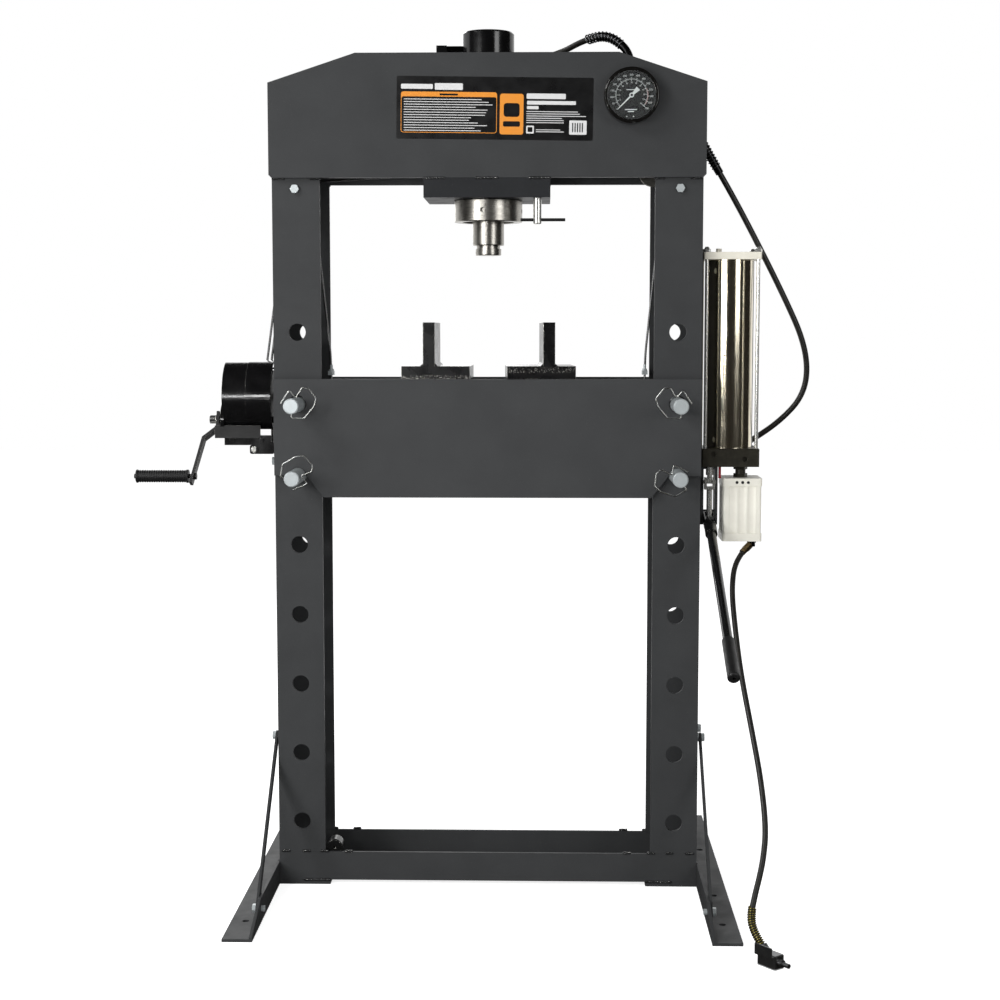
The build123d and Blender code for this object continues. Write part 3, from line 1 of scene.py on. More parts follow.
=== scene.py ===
# %% [markdown]
# # Dressing a workshop press
# The press is already built as solid pieces in its own frame, in metres, with Z up and the operator at
# minus Y. This script loads those pieces, gives each one the finish of the real thing, and adds what is
# too fine for solids: hoses, wire ropes, weld beads, dial print and ribs. A piece that is loaded is never
# moved or reshaped. It only gets a material, or is hidden because a finer piece stands in its place.

# %% Load the frame
import math
import random

import bpy
import bmesh
from mathutils import Matrix, Vector


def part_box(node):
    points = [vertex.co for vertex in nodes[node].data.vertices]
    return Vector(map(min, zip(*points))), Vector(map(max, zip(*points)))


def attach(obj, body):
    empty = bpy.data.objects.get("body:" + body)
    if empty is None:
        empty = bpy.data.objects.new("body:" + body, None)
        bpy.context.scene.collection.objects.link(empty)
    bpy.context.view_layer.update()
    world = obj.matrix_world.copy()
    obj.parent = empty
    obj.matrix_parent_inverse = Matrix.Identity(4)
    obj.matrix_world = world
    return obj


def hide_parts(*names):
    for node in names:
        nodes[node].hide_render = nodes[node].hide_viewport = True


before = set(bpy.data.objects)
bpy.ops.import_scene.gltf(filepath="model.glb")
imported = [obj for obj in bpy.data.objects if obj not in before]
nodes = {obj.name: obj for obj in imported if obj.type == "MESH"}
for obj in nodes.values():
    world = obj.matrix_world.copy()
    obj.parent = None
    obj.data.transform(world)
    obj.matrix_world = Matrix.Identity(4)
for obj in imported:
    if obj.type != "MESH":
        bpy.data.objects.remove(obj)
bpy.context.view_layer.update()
print("pieces loaded:", len(nodes))

# %% [markdown]
# ## Small helpers
# Colours are written as they look on a screen, in hex, while shaders add light in linear values, so one
# function turns the first into the second. A second function adds one node to a tree, sets it and links
# it. A third opens a new finish: a shader, its output, and the position on the piece in millimetres, so
# that each pattern's scale can be read as one over its real size.

# %% Colour, node and finish helpers
def linear(code):
    """A colour such as #4a4c4d as linear red, green, blue and alpha."""
    parts = [int(code[i:i + 2], 16) / 255 for i in (1, 3, 5)]
    return [c / 12.92 if c <= 0.04045 else ((c + 0.055) / 1.055) ** 2.4 for c in parts] + [1.0]


def add(tree, kind, inputs=None, **settings):
    """One node with its settings. An input is a value, or the socket that it is linked to."""
    node = tree.nodes.new(kind)
    for name, value in settings.items():
        setattr(node, name, value)
    for key, value in (inputs or {}).items():
        if isinstance(value, bpy.types.NodeSocket):
            tree.links.new(value, node.inputs[key])
        else:
            node.inputs[key].default_value = value
    return node


def open_finish(name, **shader_values):
    """A new material with its tree, its shader and the position in millimetres."""
    material = bpy.data.materials.new(name)
    material.use_nodes = True
    tree = material.node_tree
    tree.nodes.clear()
    shader = add(tree, "ShaderNodeBsdfPrincipled",
                 {key.replace("_", " "): value for key, value in shader_values.items()})
    add(tree, "ShaderNodeOutputMaterial", {"Surface": shader.outputs["BSDF"]})
    place = add(tree, "ShaderNodeTexCoord")
    mm = add(tree, "ShaderNodeVectorMath", {0: place.outputs["Object"], "Scale": 1000.0},
             operation="SCALE")
    return material, tree, shader, mm.outputs["Vector"]


def noise(tree, where, size_mm, detail, **more):
    """Noise with grains size_mm wide."""
    return add(tree, "ShaderNodeTexNoise", {"Vector": where, "Scale": 1 / size_mm, "Detail": detail,
                                            **more}).outputs[0]


def two_tone(tree, share, first, second):
    """Mix of two colours, each a code or a socket."""
    first, second = (linear(c) if isinstance(c, str) else c for c in (first, second))
    return add(tree, "ShaderNodeMix", {0: share, 6: first, 7: second}, data_type="RGBA").outputs[2]


def span(tree, value, low, high, to_low=0.0, to_high=1.0):
    """A value carried from one range to another."""
    return add(tree, "ShaderNodeMapRange", {0: value, 1: low, 2: high, 3: to_low, 4: to_high}).outputs[0]


def maths(tree, operation, *values):
    return add(tree, "ShaderNodeMath", dict(enumerate(values)), operation=operation).outputs[0]


def soft_edge(tree, radius, samples=6):
    return add(tree, "ShaderNodeBevel", {"Radius": radius}, samples=samples).outputs[0]


def bumped(tree, strength, distance, height, **more):
    return add(tree, "ShaderNodeBump", {"Strength": strength, "Distance": distance, "Height": height,
                                        **more}).outputs[0]


def close_finish(tree, shader, colour, gloss, skin):
    """Links colour, roughness and the normal to the shader."""
    for name, source in (("Base Color", colour), ("Roughness", gloss), ("Normal", skin)):
        tree.links.new(source, shader.inputs[name])


def placed(name, data):
    """A new object of the scene."""
    thing = bpy.data.objects.new(name, data)
    bpy.context.scene.collection.objects.link(thing)
    return thing


def as_mesh(holder):
    """What an object looks like, as a mesh of its own. The object goes."""
    bpy.context.view_layer.update()
    mesh = bpy.data.meshes.new_from_object(
        holder.evaluated_get(bpy.context.evaluated_depsgraph_get()))
    bpy.data.objects.remove(holder)
    return mesh


def mesh_of(solid, name):
    """The bmesh as a mesh. The bmesh goes."""
    mesh = bpy.data.meshes.new(name)
    solid.to_mesh(mesh)
    solid.free()
    return mesh


# %% [markdown]
# ## Powder coat
# The frame is welded from plate and angle and then powder coated in a satin charcoal. Powder flows
# together in the oven and leaves a very fine orange peel, here drawn at 1.6 mm, and it rounds every
# sheared edge a little. The Bevel node gives that soft edge without touching the mesh. Broad clouds
# 90 mm wide keep the big plates from looking printed, and faint handling marks change only the gloss.

# %% Powder coat
def powder_coat(name, deep, pale, edge_mm=1.0):
    """Satin coat over plate: orange peel, clouds of colour, handling marks, soft edges."""
    material, tree, shader, mm = open_finish(name, IOR=1.5, Specular_IOR_Level=0.12)
    clouds = noise(tree, mm, 90, 4.0)
    peel = noise(tree, mm, 1.6, 1.0)
    rub = add(tree, "ShaderNodeMapping", {"Vector": mm, "Scale": (1 / 60, 1 / 60, 1 / 14)})
    marks = noise(tree, rub.outputs[0], 1, 6.0, Roughness=0.65)
    speck = noise(tree, mm, 3.2, 2.0)
    dust = span(tree, speck, 0.68, 0.78, 0.0, 0.14)
    tone = two_tone(tree, dust, two_tone(tree, clouds, deep, pale), "#7d7e7c")
    dimple = bumped(tree, 0.35, 0.00012, peel, Normal=soft_edge(tree, edge_mm / 1000))
    close_finish(tree, shader, tone, span(tree, marks, 0.3, 0.7, 0.40, 0.56), dimple)
    return material


charcoal = powder_coat("Powder_coat_charcoal", "#373839", "#414243")
charcoal_bed = powder_coat("Powder_coat_charcoal_bed", "#3b3c3d", "#444546", 1.6)
print("coats:", charcoal.name, charcoal_bed.name)

# %% [markdown]
# ## Black enamel, whole and worn
# The winch, the pressing bolster and the cylinder are painted black and stay glossy. The loose press
# blocks are painted as well, but they get hit and dragged: the paint has chipped along their edges and
# the bright steel shows in speckles. A mask finds the edges by comparing the true normal with the one
# that the Bevel node rounds off, and a noise 2 mm wide breaks that mask into chips.

# %% Black enamel
def black_enamel(name, colour, low_gloss, high_gloss, wear_and_rim_light, chip_mm=2.0, wear_mm=2.5, scuff=None):
    """Brushed or sprayed enamel. wear_and_rim_light from 0 to 1 is how much of the edges shows steel:
    chipped paint on the press blocks, and a painted highlight along the rim of the rest stub. scuff gives
    the heights in mm between which the front is speckled with chips."""
    material, tree, shader, mm = open_finish(name, IOR=1.5)
    wide = soft_edge(tree, wear_mm / 1000, 8)
    true = add(tree, "ShaderNodeNewGeometry")
    same = add(tree, "ShaderNodeVectorMath", {0: wide, 1: true.outputs["Normal"]},
               operation="DOT_PRODUCT")
    edge = span(tree, same.outputs["Value"], 0.995, 0.86, 0.0, 0.55)
    chips = noise(tree, mm, chip_mm, 5.0, Roughness=0.7)
    ripple = noise(tree, mm, 9, 2.0)
    smear = noise(tree, mm, 35, 5.0)
    chips_and_rim_light = span(tree, maths(tree, "ADD", edge, chips), 0.98 - 0.42 * wear_and_rim_light, 1.03 - 0.42 * wear_and_rim_light)
    if scuff:
        height_mm = add(tree, "ShaderNodeSeparateXYZ", {"Vector": mm}).outputs["Z"]
        above = span(tree, height_mm, scuff[0] - 3.0, scuff[0])
        below = span(tree, height_mm, scuff[1] + 3.0, scuff[1])
        strip = maths(tree, "MULTIPLY", above, below)
        spots = span(tree, noise(tree, mm, 2.6, 3.0), 0.57, 0.61)
        chips_and_rim_light = maths(tree, "MAXIMUM", chips_and_rim_light, maths(tree, "MULTIPLY", strip, spots))
    coat = two_tone(tree, smear, colour, "#121213")
    # Towards bright steel where chips_and_rim_light is high: chipped paint on the blocks, and on the rest
    # stub a painted highlight along its rim.
    tone = two_tone(tree, chips_and_rim_light, coat, "#b9b7b1")
    gloss = span(tree, smear, 0.3, 0.7, low_gloss, high_gloss)
    skin = bumped(tree, 0.25, 0.0003, maths(tree, "SUBTRACT", ripple, chips_and_rim_light), Normal=soft_edge(tree, 0.0009))
    tree.links.new(chips_and_rim_light, shader.inputs["Metallic"])
    close_finish(tree, shader, tone, gloss, skin)
    return material


enamel = black_enamel("Black_enamel", "#080809", 0.12, 0.22, 0.0, wear_mm=0.8)
enamel_matt = black_enamel("Black_enamel_matt", "#070707", 0.42, 0.6, 0.0, wear_mm=0.8)
weld_coat = black_enamel("Powder_coat_on_weld", "#303132", 0.14, 0.24, 0.0, wear_mm=0.8)
block_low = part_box("press_block_left")[0][2] * 1000
enamel_left = black_enamel("Black_enamel_chipped_low", "#080809", 0.2, 0.36, 0.3,
                           scuff=(block_low, block_low + 6.0))
enamel_right = black_enamel("Black_enamel_chipped_high", "#080809", 0.2, 0.36, 0.3,
                            scuff=(block_low + 15.0, block_low + 22.0))
# Rest stub: its black colour is painted shade on the face, and its wide bright rim is a painted highlight.
stub_shade_and_rim_light = black_enamel("Stub_painted_shade_and_rim_highlight", "#0b0b0b", 0.2, 0.34, 0.75, 1.2, 1.2)
bolster_coat = powder_coat("Powder_coat_bolster", "#242527", "#2d2e30")
print("enamels:", enamel.name, enamel_left.name, enamel_right.name, stub_shade_and_rim_light.name)

# %% [markdown]
# ## Bare metals
# Turned steel keeps the lines of the lathe, which run round the axis, so the pattern changes only with
# height, at a feed of 0.5 mm. Zinc plate is bright with a faint blue and yellow bloom from its
# passivation. Hard chrome on the tank is almost a mirror, with hairline scratches along the tube. The
# pump block is steel with a dark phosphated skin. Some metals are set partly metallic only, because
# in this studio they would otherwise come out darker than in the photo.

# %% Turned steel
def turned_steel(name, pale, dark, rough, feed_mm=0.5, along=(0.02, 0.02, 1.0), metallic=1.0):
    """Lathe lines across the axis, a little staining, fine edge break."""
    material, tree, shader, mm = open_finish(name, Metallic=metallic)
    lines = add(tree, "ShaderNodeMapping", {"Vector": mm, "Scale": tuple(a / feed_mm for a in along)})
    feed = noise(tree, lines.outputs[0], 1, 2.0)
    stain = noise(tree, mm, 22, 6.0, Roughness=0.6)
    groove = bumped(tree, 0.12, 0.00003, feed, Normal=soft_edge(tree, 0.0006))
    close_finish(tree, shader, two_tone(tree, stain, pale, dark),
                 span(tree, feed, 0.3, 0.7, rough - 0.05, rough + 0.07), groove)
    return material


steel = turned_steel("Turned_steel", "#b8b5ae", "#8f8c86", 0.3)
cap_steel = turned_steel("Milled_steel_cap", "#f6f2e4", "#e9e5d6", 0.46, 1.2, (1.0, 0.04, 1.0), 0.1)
chrome = turned_steel("Hard_chrome_tube", "#eee6d2", "#d2c8ae", 0.12, 0.7, (1.0, 1.0, 0.015))
bezel_chrome = turned_steel("Chrome_bezel", "#8a8a89", "#747473", 0.12, 1.5, (0.3, 0.3, 0.3))
print("metals:", steel.name, cap_steel.name, chrome.name)

# %% Zinc plate, anodised aluminium and brass
def plated(name, first, second, rough, grain_mm, metallic=1.0):
    """Plated or anodised skin: two tints that drift over the piece, fine grain in the gloss."""
    material, tree, shader, mm = open_finish(name, Metallic=metallic)
    grain = noise(tree, mm, grain_mm, 3.0)
    pits = bumped(tree, 0.12, 0.00004, grain, Normal=soft_edge(tree, 0.0005))
    close_finish(tree, shader, two_tone(tree, noise(tree, mm, 11, 3.0), first, second),
                 span(tree, grain, 0.3, 0.7, rough - 0.03, rough + 0.05), pits)
    return material


zinc = plated("Zinc_plate", "#d2d6da", "#dedace", 0.24, 1.0, 0.8)
wire_zinc = plated("Zinc_wire", "#a9adb2", "#c2c0b6", 0.28, 1.0)
alloy = plated("Anodised_aluminium", "#f6f4e8", "#efece0", 0.4, 2.0, 0.05)
brass = plated("Brass_plated_wire", "#a79a52", "#7e7240", 0.3, 0.8)
bronze = plated("Brass_fitting", "#9a8458", "#80705a", 0.3, 1.0)
black_oxide = plated("Black_oxide_steel", "#2c2c2d", "#1c1c1c", 0.33, 1.0)
pump_skin = plated("Phosphated_steel", "#4a473d", "#2e2c27", 0.34, 5.0, 0.6)
pin_zinc = plated("Zinc_plate_on_pins", "#c9d0d2", "#b9bfc0", 0.3, 1.4, 0.35)
die_cast = plated("Die_cast_zinc", "#77797b", "#8b8c8c", 0.34, 1.6)
print("plated:", zinc.name, alloy.name, brass.name)

# %% [markdown]
# ## Rubber, plastic, glass and print
# Hoses have a cover of black synthetic rubber that was cured in a cloth wrap, so a fine weave stays in
# the skin. It follows the hose, and so it reads the distance along the hose that each hose mesh carries
# in its own attribute. Grips are softer vinyl. Print and label film are plain colours with the slight
# unevenness of ink on film.

# %% Rubber and plastic
def hose_rubber(name, colour, wrap_mm=2.2):
    """Cured rubber: rings left by the cloth wrap, read from the distance along the hose."""
    material, tree, shader, mm = open_finish(name, IOR=1.5)
    along = add(tree, "ShaderNodeAttribute", attribute_name="along").outputs["Fac"]
    rings = maths(tree, "SINE", maths(tree, "MULTIPLY", along, 2000 * math.pi / wrap_mm))
    height = maths(tree, "MULTIPLY_ADD", rings, 0.3, noise(tree, mm, 1.1, 2.0))
    grime = noise(tree, mm, 30, 5.0)
    close_finish(tree, shader, two_tone(tree, grime, colour, "#26241f"),
                 span(tree, grime, 0.3, 0.7, 0.34, 0.5), bumped(tree, 0.3, 0.0002, height))
    return material


def moulded(name, first, second, low, high, grain_mm=0.8, **values):
    """Moulded or printed plastic: two near tones and the grain of the mould."""
    material, tree, shader, mm = open_finish(name, IOR=1.5, **values)
    drift = noise(tree, mm, 25, 4.0)
    close_finish(tree, shader, two_tone(tree, drift, first, second),
                 span(tree, drift, 0.3, 0.7, low, high),
                 bumped(tree, 0.2, 0.0001, noise(tree, mm, grain_mm, 2.0)))
    return material


rubber = hose_rubber("Black_hose_rubber", "#0e0e0f")
vinyl = moulded("Black_vinyl_grip", "#111112", "#19191a", 0.4, 0.6)
film_black = moulded("Label_film_black", "#0b0b0c", "#111112", 0.26, 0.36, 1.5)
film_orange = moulded("Label_ink_orange", "#e8912c", "#e09037", 0.3, 0.4, 1.5)
film_white = moulded("Label_ink_white", "#dedede", "#d2d2d2", 0.34, 0.44, 1.5)
dial_black = moulded("Dial_lacquer_black", "#060607", "#0a0a0b", 0.5, 0.6,
                     Specular_IOR_Level=0.08)
dial_white = moulded("Dial_print_white", "#ececea", "#dededc", 0.4, 0.5)
dial_red = moulded("Dial_print_red", "#8c3a30", "#80352c", 0.4, 0.5)
red_plastic = moulded("Red_plastic", "#b51c2c", "#a01626", 0.3, 0.42)
gauge_pane = moulded("Clear_dial_glass", "#f4f7f7", "#eef3f3", 0.0, 0.02, 40.0,
                     Transmission_Weight=1.0)
print("soft finishes:", rubber.name, vinyl.name)

# %% [markdown]
# ## Which piece wears which finish
# Each loaded piece already has the right form, so its material slots are filled and its mesh is left
# alone. The list below reads like a paint shop's card: finish first, then the pieces that get it.

# %% Hand out the finishes
paint_card = {
    charcoal: ["head_front_plate", "head_rear_plate", "left_post", "right_post", "front_crossmember",
               "rear_crossmember", "base_plates", "left_foot", "right_foot", "foot_braces",
               "bed_spacers", "pump_bracket"],
    charcoal_bed: ["bed_front_beam", "bed_rear_beam"],
    bolster_coat: ["head_block"],
    enamel: ["cylinder_body", "winch_frame", "winch_cover", "pump_lever"],
    enamel_matt: ["winch_crank"],
    enamel_left: ["press_block_left"],
    enamel_right: ["press_block_right"],
    stub_shade_and_rim_light: ["rest_stub"],
    steel: ["lock_ring", "ram", "ram_nose", "winch_drum", "left_pulley", "right_pulley", "return_spring"],
    zinc: ["pump_plunger", "clamp_screw", "pump_tie_rods"],
    pin_zinc: ["frame_bolts", "bed_pin_upper_left", "bed_pin_upper_right", "bed_pin_lower_left",
               "bed_pin_lower_right"],
    wire_zinc: ["pin_clip_upper_left", "pin_clip_upper_right", "pin_clip_lower_left",
                "pin_clip_lower_right"],
    chrome: ["reservoir_tube"],
    bezel_chrome: ["gauge_case"],
    cap_steel: ["pump_cap"],
    pump_skin: ["pump_block"],
    alloy: ["air_motor"],
    die_cast: ["air_valve", "valve_lever"],
    black_oxide: ["hose_fittings"],
    vinyl: ["lever_grip", "crank_grip"],
    red_plastic: ["release_knob"],
    dial_white: ["gauge_needle"],
    gauge_pane: ["gauge_glass"],
    rubber: ["main_hose", "upper_hose", "air_hose"],
    brass: ["air_hose_guard"],
}
wearing = {}
for finish, names in paint_card.items():
    for name in names:
        piece = nodes[name]
        piece.data.materials.clear()
        piece.data.materials.append(finish)
        wearing[name] = finish.name
print("pieces without a finish:", sorted(set(nodes) - set(wearing) - {"lift_ropes"}))

# %% [markdown]
# ## A mesh from points and faces
# Small plates, print and seams are meshes written out one by one: a bmesh takes an outline and gives it
# thickness. One helper turns a bmesh into an object at the origin with its material and its body,
# because every new piece needs these three things.

# %% Helper for a finished piece
def finish_piece(name, mesh, material, body):
    """An object at the origin, with outward faces, that rides on a body."""
    solid = bmesh.new()
    solid.from_mesh(mesh)
    bmesh.ops.remove_doubles(solid, verts=solid.verts, dist=1e-6)
    bmesh.ops.recalc_face_normals(solid, faces=solid.faces)
    solid.to_mesh(mesh)
    solid.free()
    piece = placed(name, mesh)
    if material is not None:
        mesh.materials.clear()
        mesh.materials.append(material)
    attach(piece, body)
    return piece


def slab(outline, lift_from, lift_to, axis="Y"):
    """A closed plate over an outline in X and Z (axis Y), or in X and Y (axis Z), in metres."""
    solid = bmesh.new()
    if axis == "Y":
        corners = [solid.verts.new((x, lift_from, z)) for x, z in outline]
        move = Vector((0, lift_to - lift_from, 0))
    else:
        corners = [solid.verts.new((x, y, lift_from)) for x, y in outline]
        move = Vector((0, 0, lift_to - lift_from))
    face = solid.faces.new(corners)
    grown = bmesh.ops.extrude_face_region(solid, geom=[face])
    bmesh.ops.translate(solid, vec=move,
                        verts=[v for v in grown["geom"] if isinstance(v, bmesh.types.BMVert)])
    return mesh_of(solid, "slab")


def rounded_box(x0, z0, x1, z1, r, steps=6):
    """Outline of a box with round corners, in metres."""
    points = []
    for cx, cz, start in ((x1 - r, z1 - r, 0), (x0 + r, z1 - r, 90), (x0 + r, z0 + r, 180),
                          (x1 - r, z0 + r, 270)):
        for i in range(steps + 1):
            a = math.radians(start + 90 * i / steps)
            points.append((cx + r * math.cos(a), cz + r * math.sin(a)))
    return points


def merged(meshes):
    """Several meshes as one."""
    solid = bmesh.new()
    for mesh in meshes:
        solid.from_mesh(mesh)
    return mesh_of(solid, "merged")


print("helpers ready")

# %% [markdown]
# ## Label film on the head
# The head carries a printed film, 0.2 mm thick. Here it is left without words: a black field with its
# ruled box, its filled panels and short bars in place of lines of print, at their real sizes. Each ink
# lies a few hundredths of a millimetre above the one below it, as screen print does, which also keeps
# two faces from lying in the same plane.

# %% Label
label_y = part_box("head_front_plate")[0][1]
label_lean = math.radians(-0.8)
MM = 0.001


def turned(x, z):
    """A spot of the label in metres. The film was stuck on a little askew."""
    c, s = math.cos(label_lean), math.sin(label_lean)
    x0, z0 = 16.5, 1651.0
    return ((x0 + (x - x0) * c - (z - z0) * s) * MM, (z0 + (x - x0) * s + (z - z0) * c) * MM)


def print_field(name, shapes, material, height_mm):
    """One ink of the label: all its shapes as thin slabs in front of the head plate."""
    meshes = [slab([turned(x, z) for x, z in shape], label_y, label_y - height_mm * MM)
              for shape in shapes]
    return finish_piece(name, merged(meshes), material, "frame")


def bars(x0, x1, tops, thick, seed):
    """Short bars of uneven length, one for each line."""
    dice = random.Random(seed)
    rows = []
    for z in tops:
        end = x0 + (x1 - x0) * dice.uniform(0.72, 1.0)
        rows.append(rounded_box(x0, z - thick, end, z, thick * 0.45, 2))
    return rows


print_field("label_film", [rounded_box(-187, 1587, 220, 1715, 3)], film_black, 0.20)
print_field("label_box", [rounded_box(-178, 1600, 21, 1683.5, 5)], film_orange, 0.24)
print_field("label_box_inside", [rounded_box(-176.8, 1601.2, 19.8, 1673.5, 4)], film_black, 0.28)
print_field("label_panel", [rounded_box(27, 1598, 76, 1681, 5)], film_orange, 0.24)
print_field("label_panel_marks", [rounded_box(35, 1634, 68, 1662, 6), rounded_box(34, 1614, 69, 1625, 3),
                                  rounded_box(-98, 1676, -60, 1680, 1)], film_black, 0.28)
print_field("label_title", [rounded_box(-178, 1689, -112, 1699, 2), rounded_box(-108, 1687.5, -50, 1701, 2)],
            film_white, 0.24)
print_field("label_patch", [rounded_box(171, 1599, 207, 1628, 2), rounded_box(82, 1600.5, 98, 1616.5, 2)],
            film_white, 0.24)
print_field("label_patch_marks", [rounded_box(177 + 5 * i, 1604, 179.4 + 5 * i, 1623, 0.6) for i in range(5)]
            + [rounded_box(85, 1603.5, 95, 1613.5, 1)], film_black, 0.28)
print_field("label_headings", [rounded_box(82, 1671, 163, 1682, 2), rounded_box(83, 1659.5, 184, 1667, 1.5),
                               rounded_box(83, 1650, 107, 1656.5, 1.5)], film_white, 0.24)
print_field("label_small_lines", bars(82, 208, (1646, 1641.5, 1637), 1.5, 11)
            + bars(82, 168, (1632.5, 1628, 1623.5), 1.5, 12) + bars(102, 166, (1609, 1605), 1.5, 13),
            film_white, 0.24)
print_field("label_box_lines", bars(-172, 14, [1669 - 5.3 * i for i in range(13)], 1.5, 17), film_white, 0.32)
print("label width in mm:", 407)

# %% [markdown]
# ## Tube along a route with Geometry Nodes
# Hoses and wire ropes follow a route. The route is a NURBS spline through control points, and a node
# tree runs a profile along it: it resamples the curve to even steps, twists it by a lay length, and
# sweeps a profile that can have lobes. A hose has no lobes and a rope has six, one for each strand.
# The tree stores the distance along the route for the rubber, and ends in plain mesh with its material.

# %% The tube tree
def open_tree(name, result, **kinds):
    """A new geometry tree with its named inputs by kind, and the sockets that carry them."""
    tree = bpy.data.node_groups.new(name, "GeometryNodeTree")
    for kind, titles in kinds.items():
        for title in titles:
            tree.interface.new_socket(title, in_out="INPUT", socket_type="NodeSocket" + kind)
    tree.interface.new_socket(result, in_out="OUTPUT", socket_type="NodeSocketGeometry")
    return tree, add(tree, "NodeGroupInput").outputs


def tube_tree():
    tree, given = open_tree("Tube_along_route", "Tube", Geometry=["Route"],
                            Float=["Radius", "Lobe depth", "Lay length", "Step"],
                            Int=["Sides", "Lobes"], Material=["Finish"])
    even = add(tree, "GeometryNodeResampleCurve", {"Curve": given["Route"], "Length": given["Step"]},
               mode="LENGTH")
    travelled = add(tree, "GeometryNodeSplineParameter")
    noted = add(tree, "GeometryNodeStoreNamedAttribute",
                {"Geometry": even.outputs[0], "Name": "along", "Value": travelled.outputs["Length"]},
                data_type="FLOAT", domain="POINT")
    twist = maths(tree, "MULTIPLY", maths(tree, "DIVIDE", travelled.outputs["Length"], given["Lay length"]),
                  2 * math.pi)
    twisted = add(tree, "GeometryNodeSetCurveTilt", {"Curve": noted.outputs[0], "Tilt": twist})
    ring = add(tree, "GeometryNodeCurvePrimitiveCircle", {"Resolution": given["Sides"],
                                                          "Radius": given["Radius"]})
    around = add(tree, "GeometryNodeSplineParameter")
    angle = maths(tree, "MULTIPLY", around.outputs["Factor"], 2 * math.pi)
    crest = maths(tree, "COSINE", maths(tree, "MULTIPLY", angle, given["Lobes"]))
    depth = maths(tree, "MULTIPLY_ADD", crest, given["Lobe depth"], 1.0)
    spot = add(tree, "GeometryNodeInputPosition")
    lobed = add(tree, "ShaderNodeVectorMath", {0: spot.outputs[0], "Scale": depth},
                operation="SCALE")
    profile = add(tree, "GeometryNodeSetPosition", {"Geometry": ring.outputs["Curve"],
                                                    "Position": lobed.outputs[0]})
    swept = add(tree, "GeometryNodeCurveToMesh", {"Curve": twisted.outputs[0],
                                                  "Profile Curve": profile.outputs[0],
                                                  "Fill Caps": True})
    smooth = add(tree, "GeometryNodeSetShadeSmooth", {"Geometry": swept.outputs[0]})
    real = add(tree, "GeometryNodeRealizeInstances", {"Geometry": smooth.outputs[0]})
    coated = add(tree, "GeometryNodeSetMaterial", {"Geometry": real.outputs[0],
                                                   "Material": given["Finish"]})
    add(tree, "NodeGroupOutput", {"Tube": coated.outputs[0]})
    return tree


def from_tree(name, source, tree, values, body):
    """Runs a node tree on an object or a mesh, and keeps the result as a plain mesh."""
    carrier = placed(name + "_carrier", source)
    modifier = carrier.modifiers.new("Shape", "NODES")
    modifier.node_group = tree
    sockets = {item.name: item.identifier for item in tree.interface.items_tree
               if item.item_type == "SOCKET" and item.in_out == "INPUT"}
    for title, value in values.items():
        modifier[sockets[title]] = value
    mesh = as_mesh(carrier)
    mesh.name = name
    piece = placed(name, mesh)
    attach(piece, body)
    print(name, "faces:", len(mesh.polygons))
    return piece


def route_curve(name, points):
    """The route as a smooth NURBS spline with these control points, in metres."""
    curve = bpy.data.curves.new(name, "CURVE")
    curve.dimensions = "3D"
    curve.resolution_u = 12
    spline = curve.splines.new("NURBS")
    spline.points.add(len(points) - 1)
    for spot, point in zip(spline.points, points):
        spot.co = (*point, 1.0)
    spline.order_u = 3
    spline.use_endpoint_u = True
    return curve


def route_points(curve):
    """The points that the spline itself gives, in order from its start."""
    return [tuple(v.co) for v in as_mesh(placed("route_reader", curve)).vertices]


tube = tube_tree()
print("tree inputs:", [item.name for item in tube.interface.items_tree if item.in_out == "INPUT"])

# %% [markdown]
# ## Three hoses
# The pressure hose leaves the head through the right post, hangs in a wide bow and comes back to the
# valve block. The short one climbs out of the head to the cylinder. The thin air hose drops from the
# motor to the valve on the floor. Their routes are the same points as in the solid model, and the
# spline smooths them, so that they bend like real hose. Each is a length of flexible tube.

# %% Hose routes, in metres
main_route = [(0.325, -0.037, 1.674), (0.385, -0.03, 1.672), (0.43, -0.002, 1.632),
              (0.47, 0.02, 1.568), (0.522, 0.031, 1.483), (0.575, 0.037, 1.387),
              (0.64, 0.043, 1.262), (0.682, 0.05, 1.172), (0.694, 0.058, 1.1),
              (0.68, 0.066, 1.045), (0.64, 0.074, 1.0), (0.594, 0.08, 0.965),
              (0.5555, 0.084, 0.941)]
upper_route = [(-0.097, 0.025, 1.777), (-0.097, 0.165, 1.777), (0.048, 0.165, 1.777),
               (0.148, 0.075, 1.786), (0.205, 0.0, 1.806), (0.255, -0.026, 1.812),
               (0.3, -0.037, 1.772), (0.298, -0.037, 1.712)]
air_route = [(0.55548, -0.02384, 0.72685), (0.531, -0.047, 0.707), (0.517, -0.098, 0.653),
             (0.519, -0.16, 0.577), (0.525, -0.225, 0.492), (0.539, -0.298, 0.397),
             (0.552, -0.366, 0.305), (0.556, -0.424, 0.222), (0.547, -0.458, 0.172),
             (0.536, -0.482, 0.138), (0.526, -0.501, 0.112), (0.521, -0.513, 0.095)]
plain_tube = {"Lobe depth": 0.0, "Lay length": 10.0, "Lobes": 1}
hose_radius = 0.00625
air_radius = 0.00575
hose_paths = {}
for name, points, radius in (("main_hose", main_route, hose_radius),
                             ("upper_hose", upper_route, hose_radius),
                             ("air_hose", air_route, air_radius)):
    curve = route_curve(name + "_route", points)
    hose_paths[name] = route_points(curve)
    from_tree(name + "_rubber", curve, tube,
                            {"Radius": radius, "Step": 0.004, "Sides": 24, "Finish": rubber,
                             **plain_tube}, "frame")
    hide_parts(name)

# %% [markdown]
# ## Wire ropes of the bed hoist
# Two 5 mm wire ropes run from the drum over the pulleys down to the bed. A wire rope is six strands
# laid in a helix, one turn in about six diameters. The tube tree makes that from a profile of six
# lobes. The ropes are pulled straight, so each corner has a point close on both sides, which makes the
# spline follow the pulley's round.

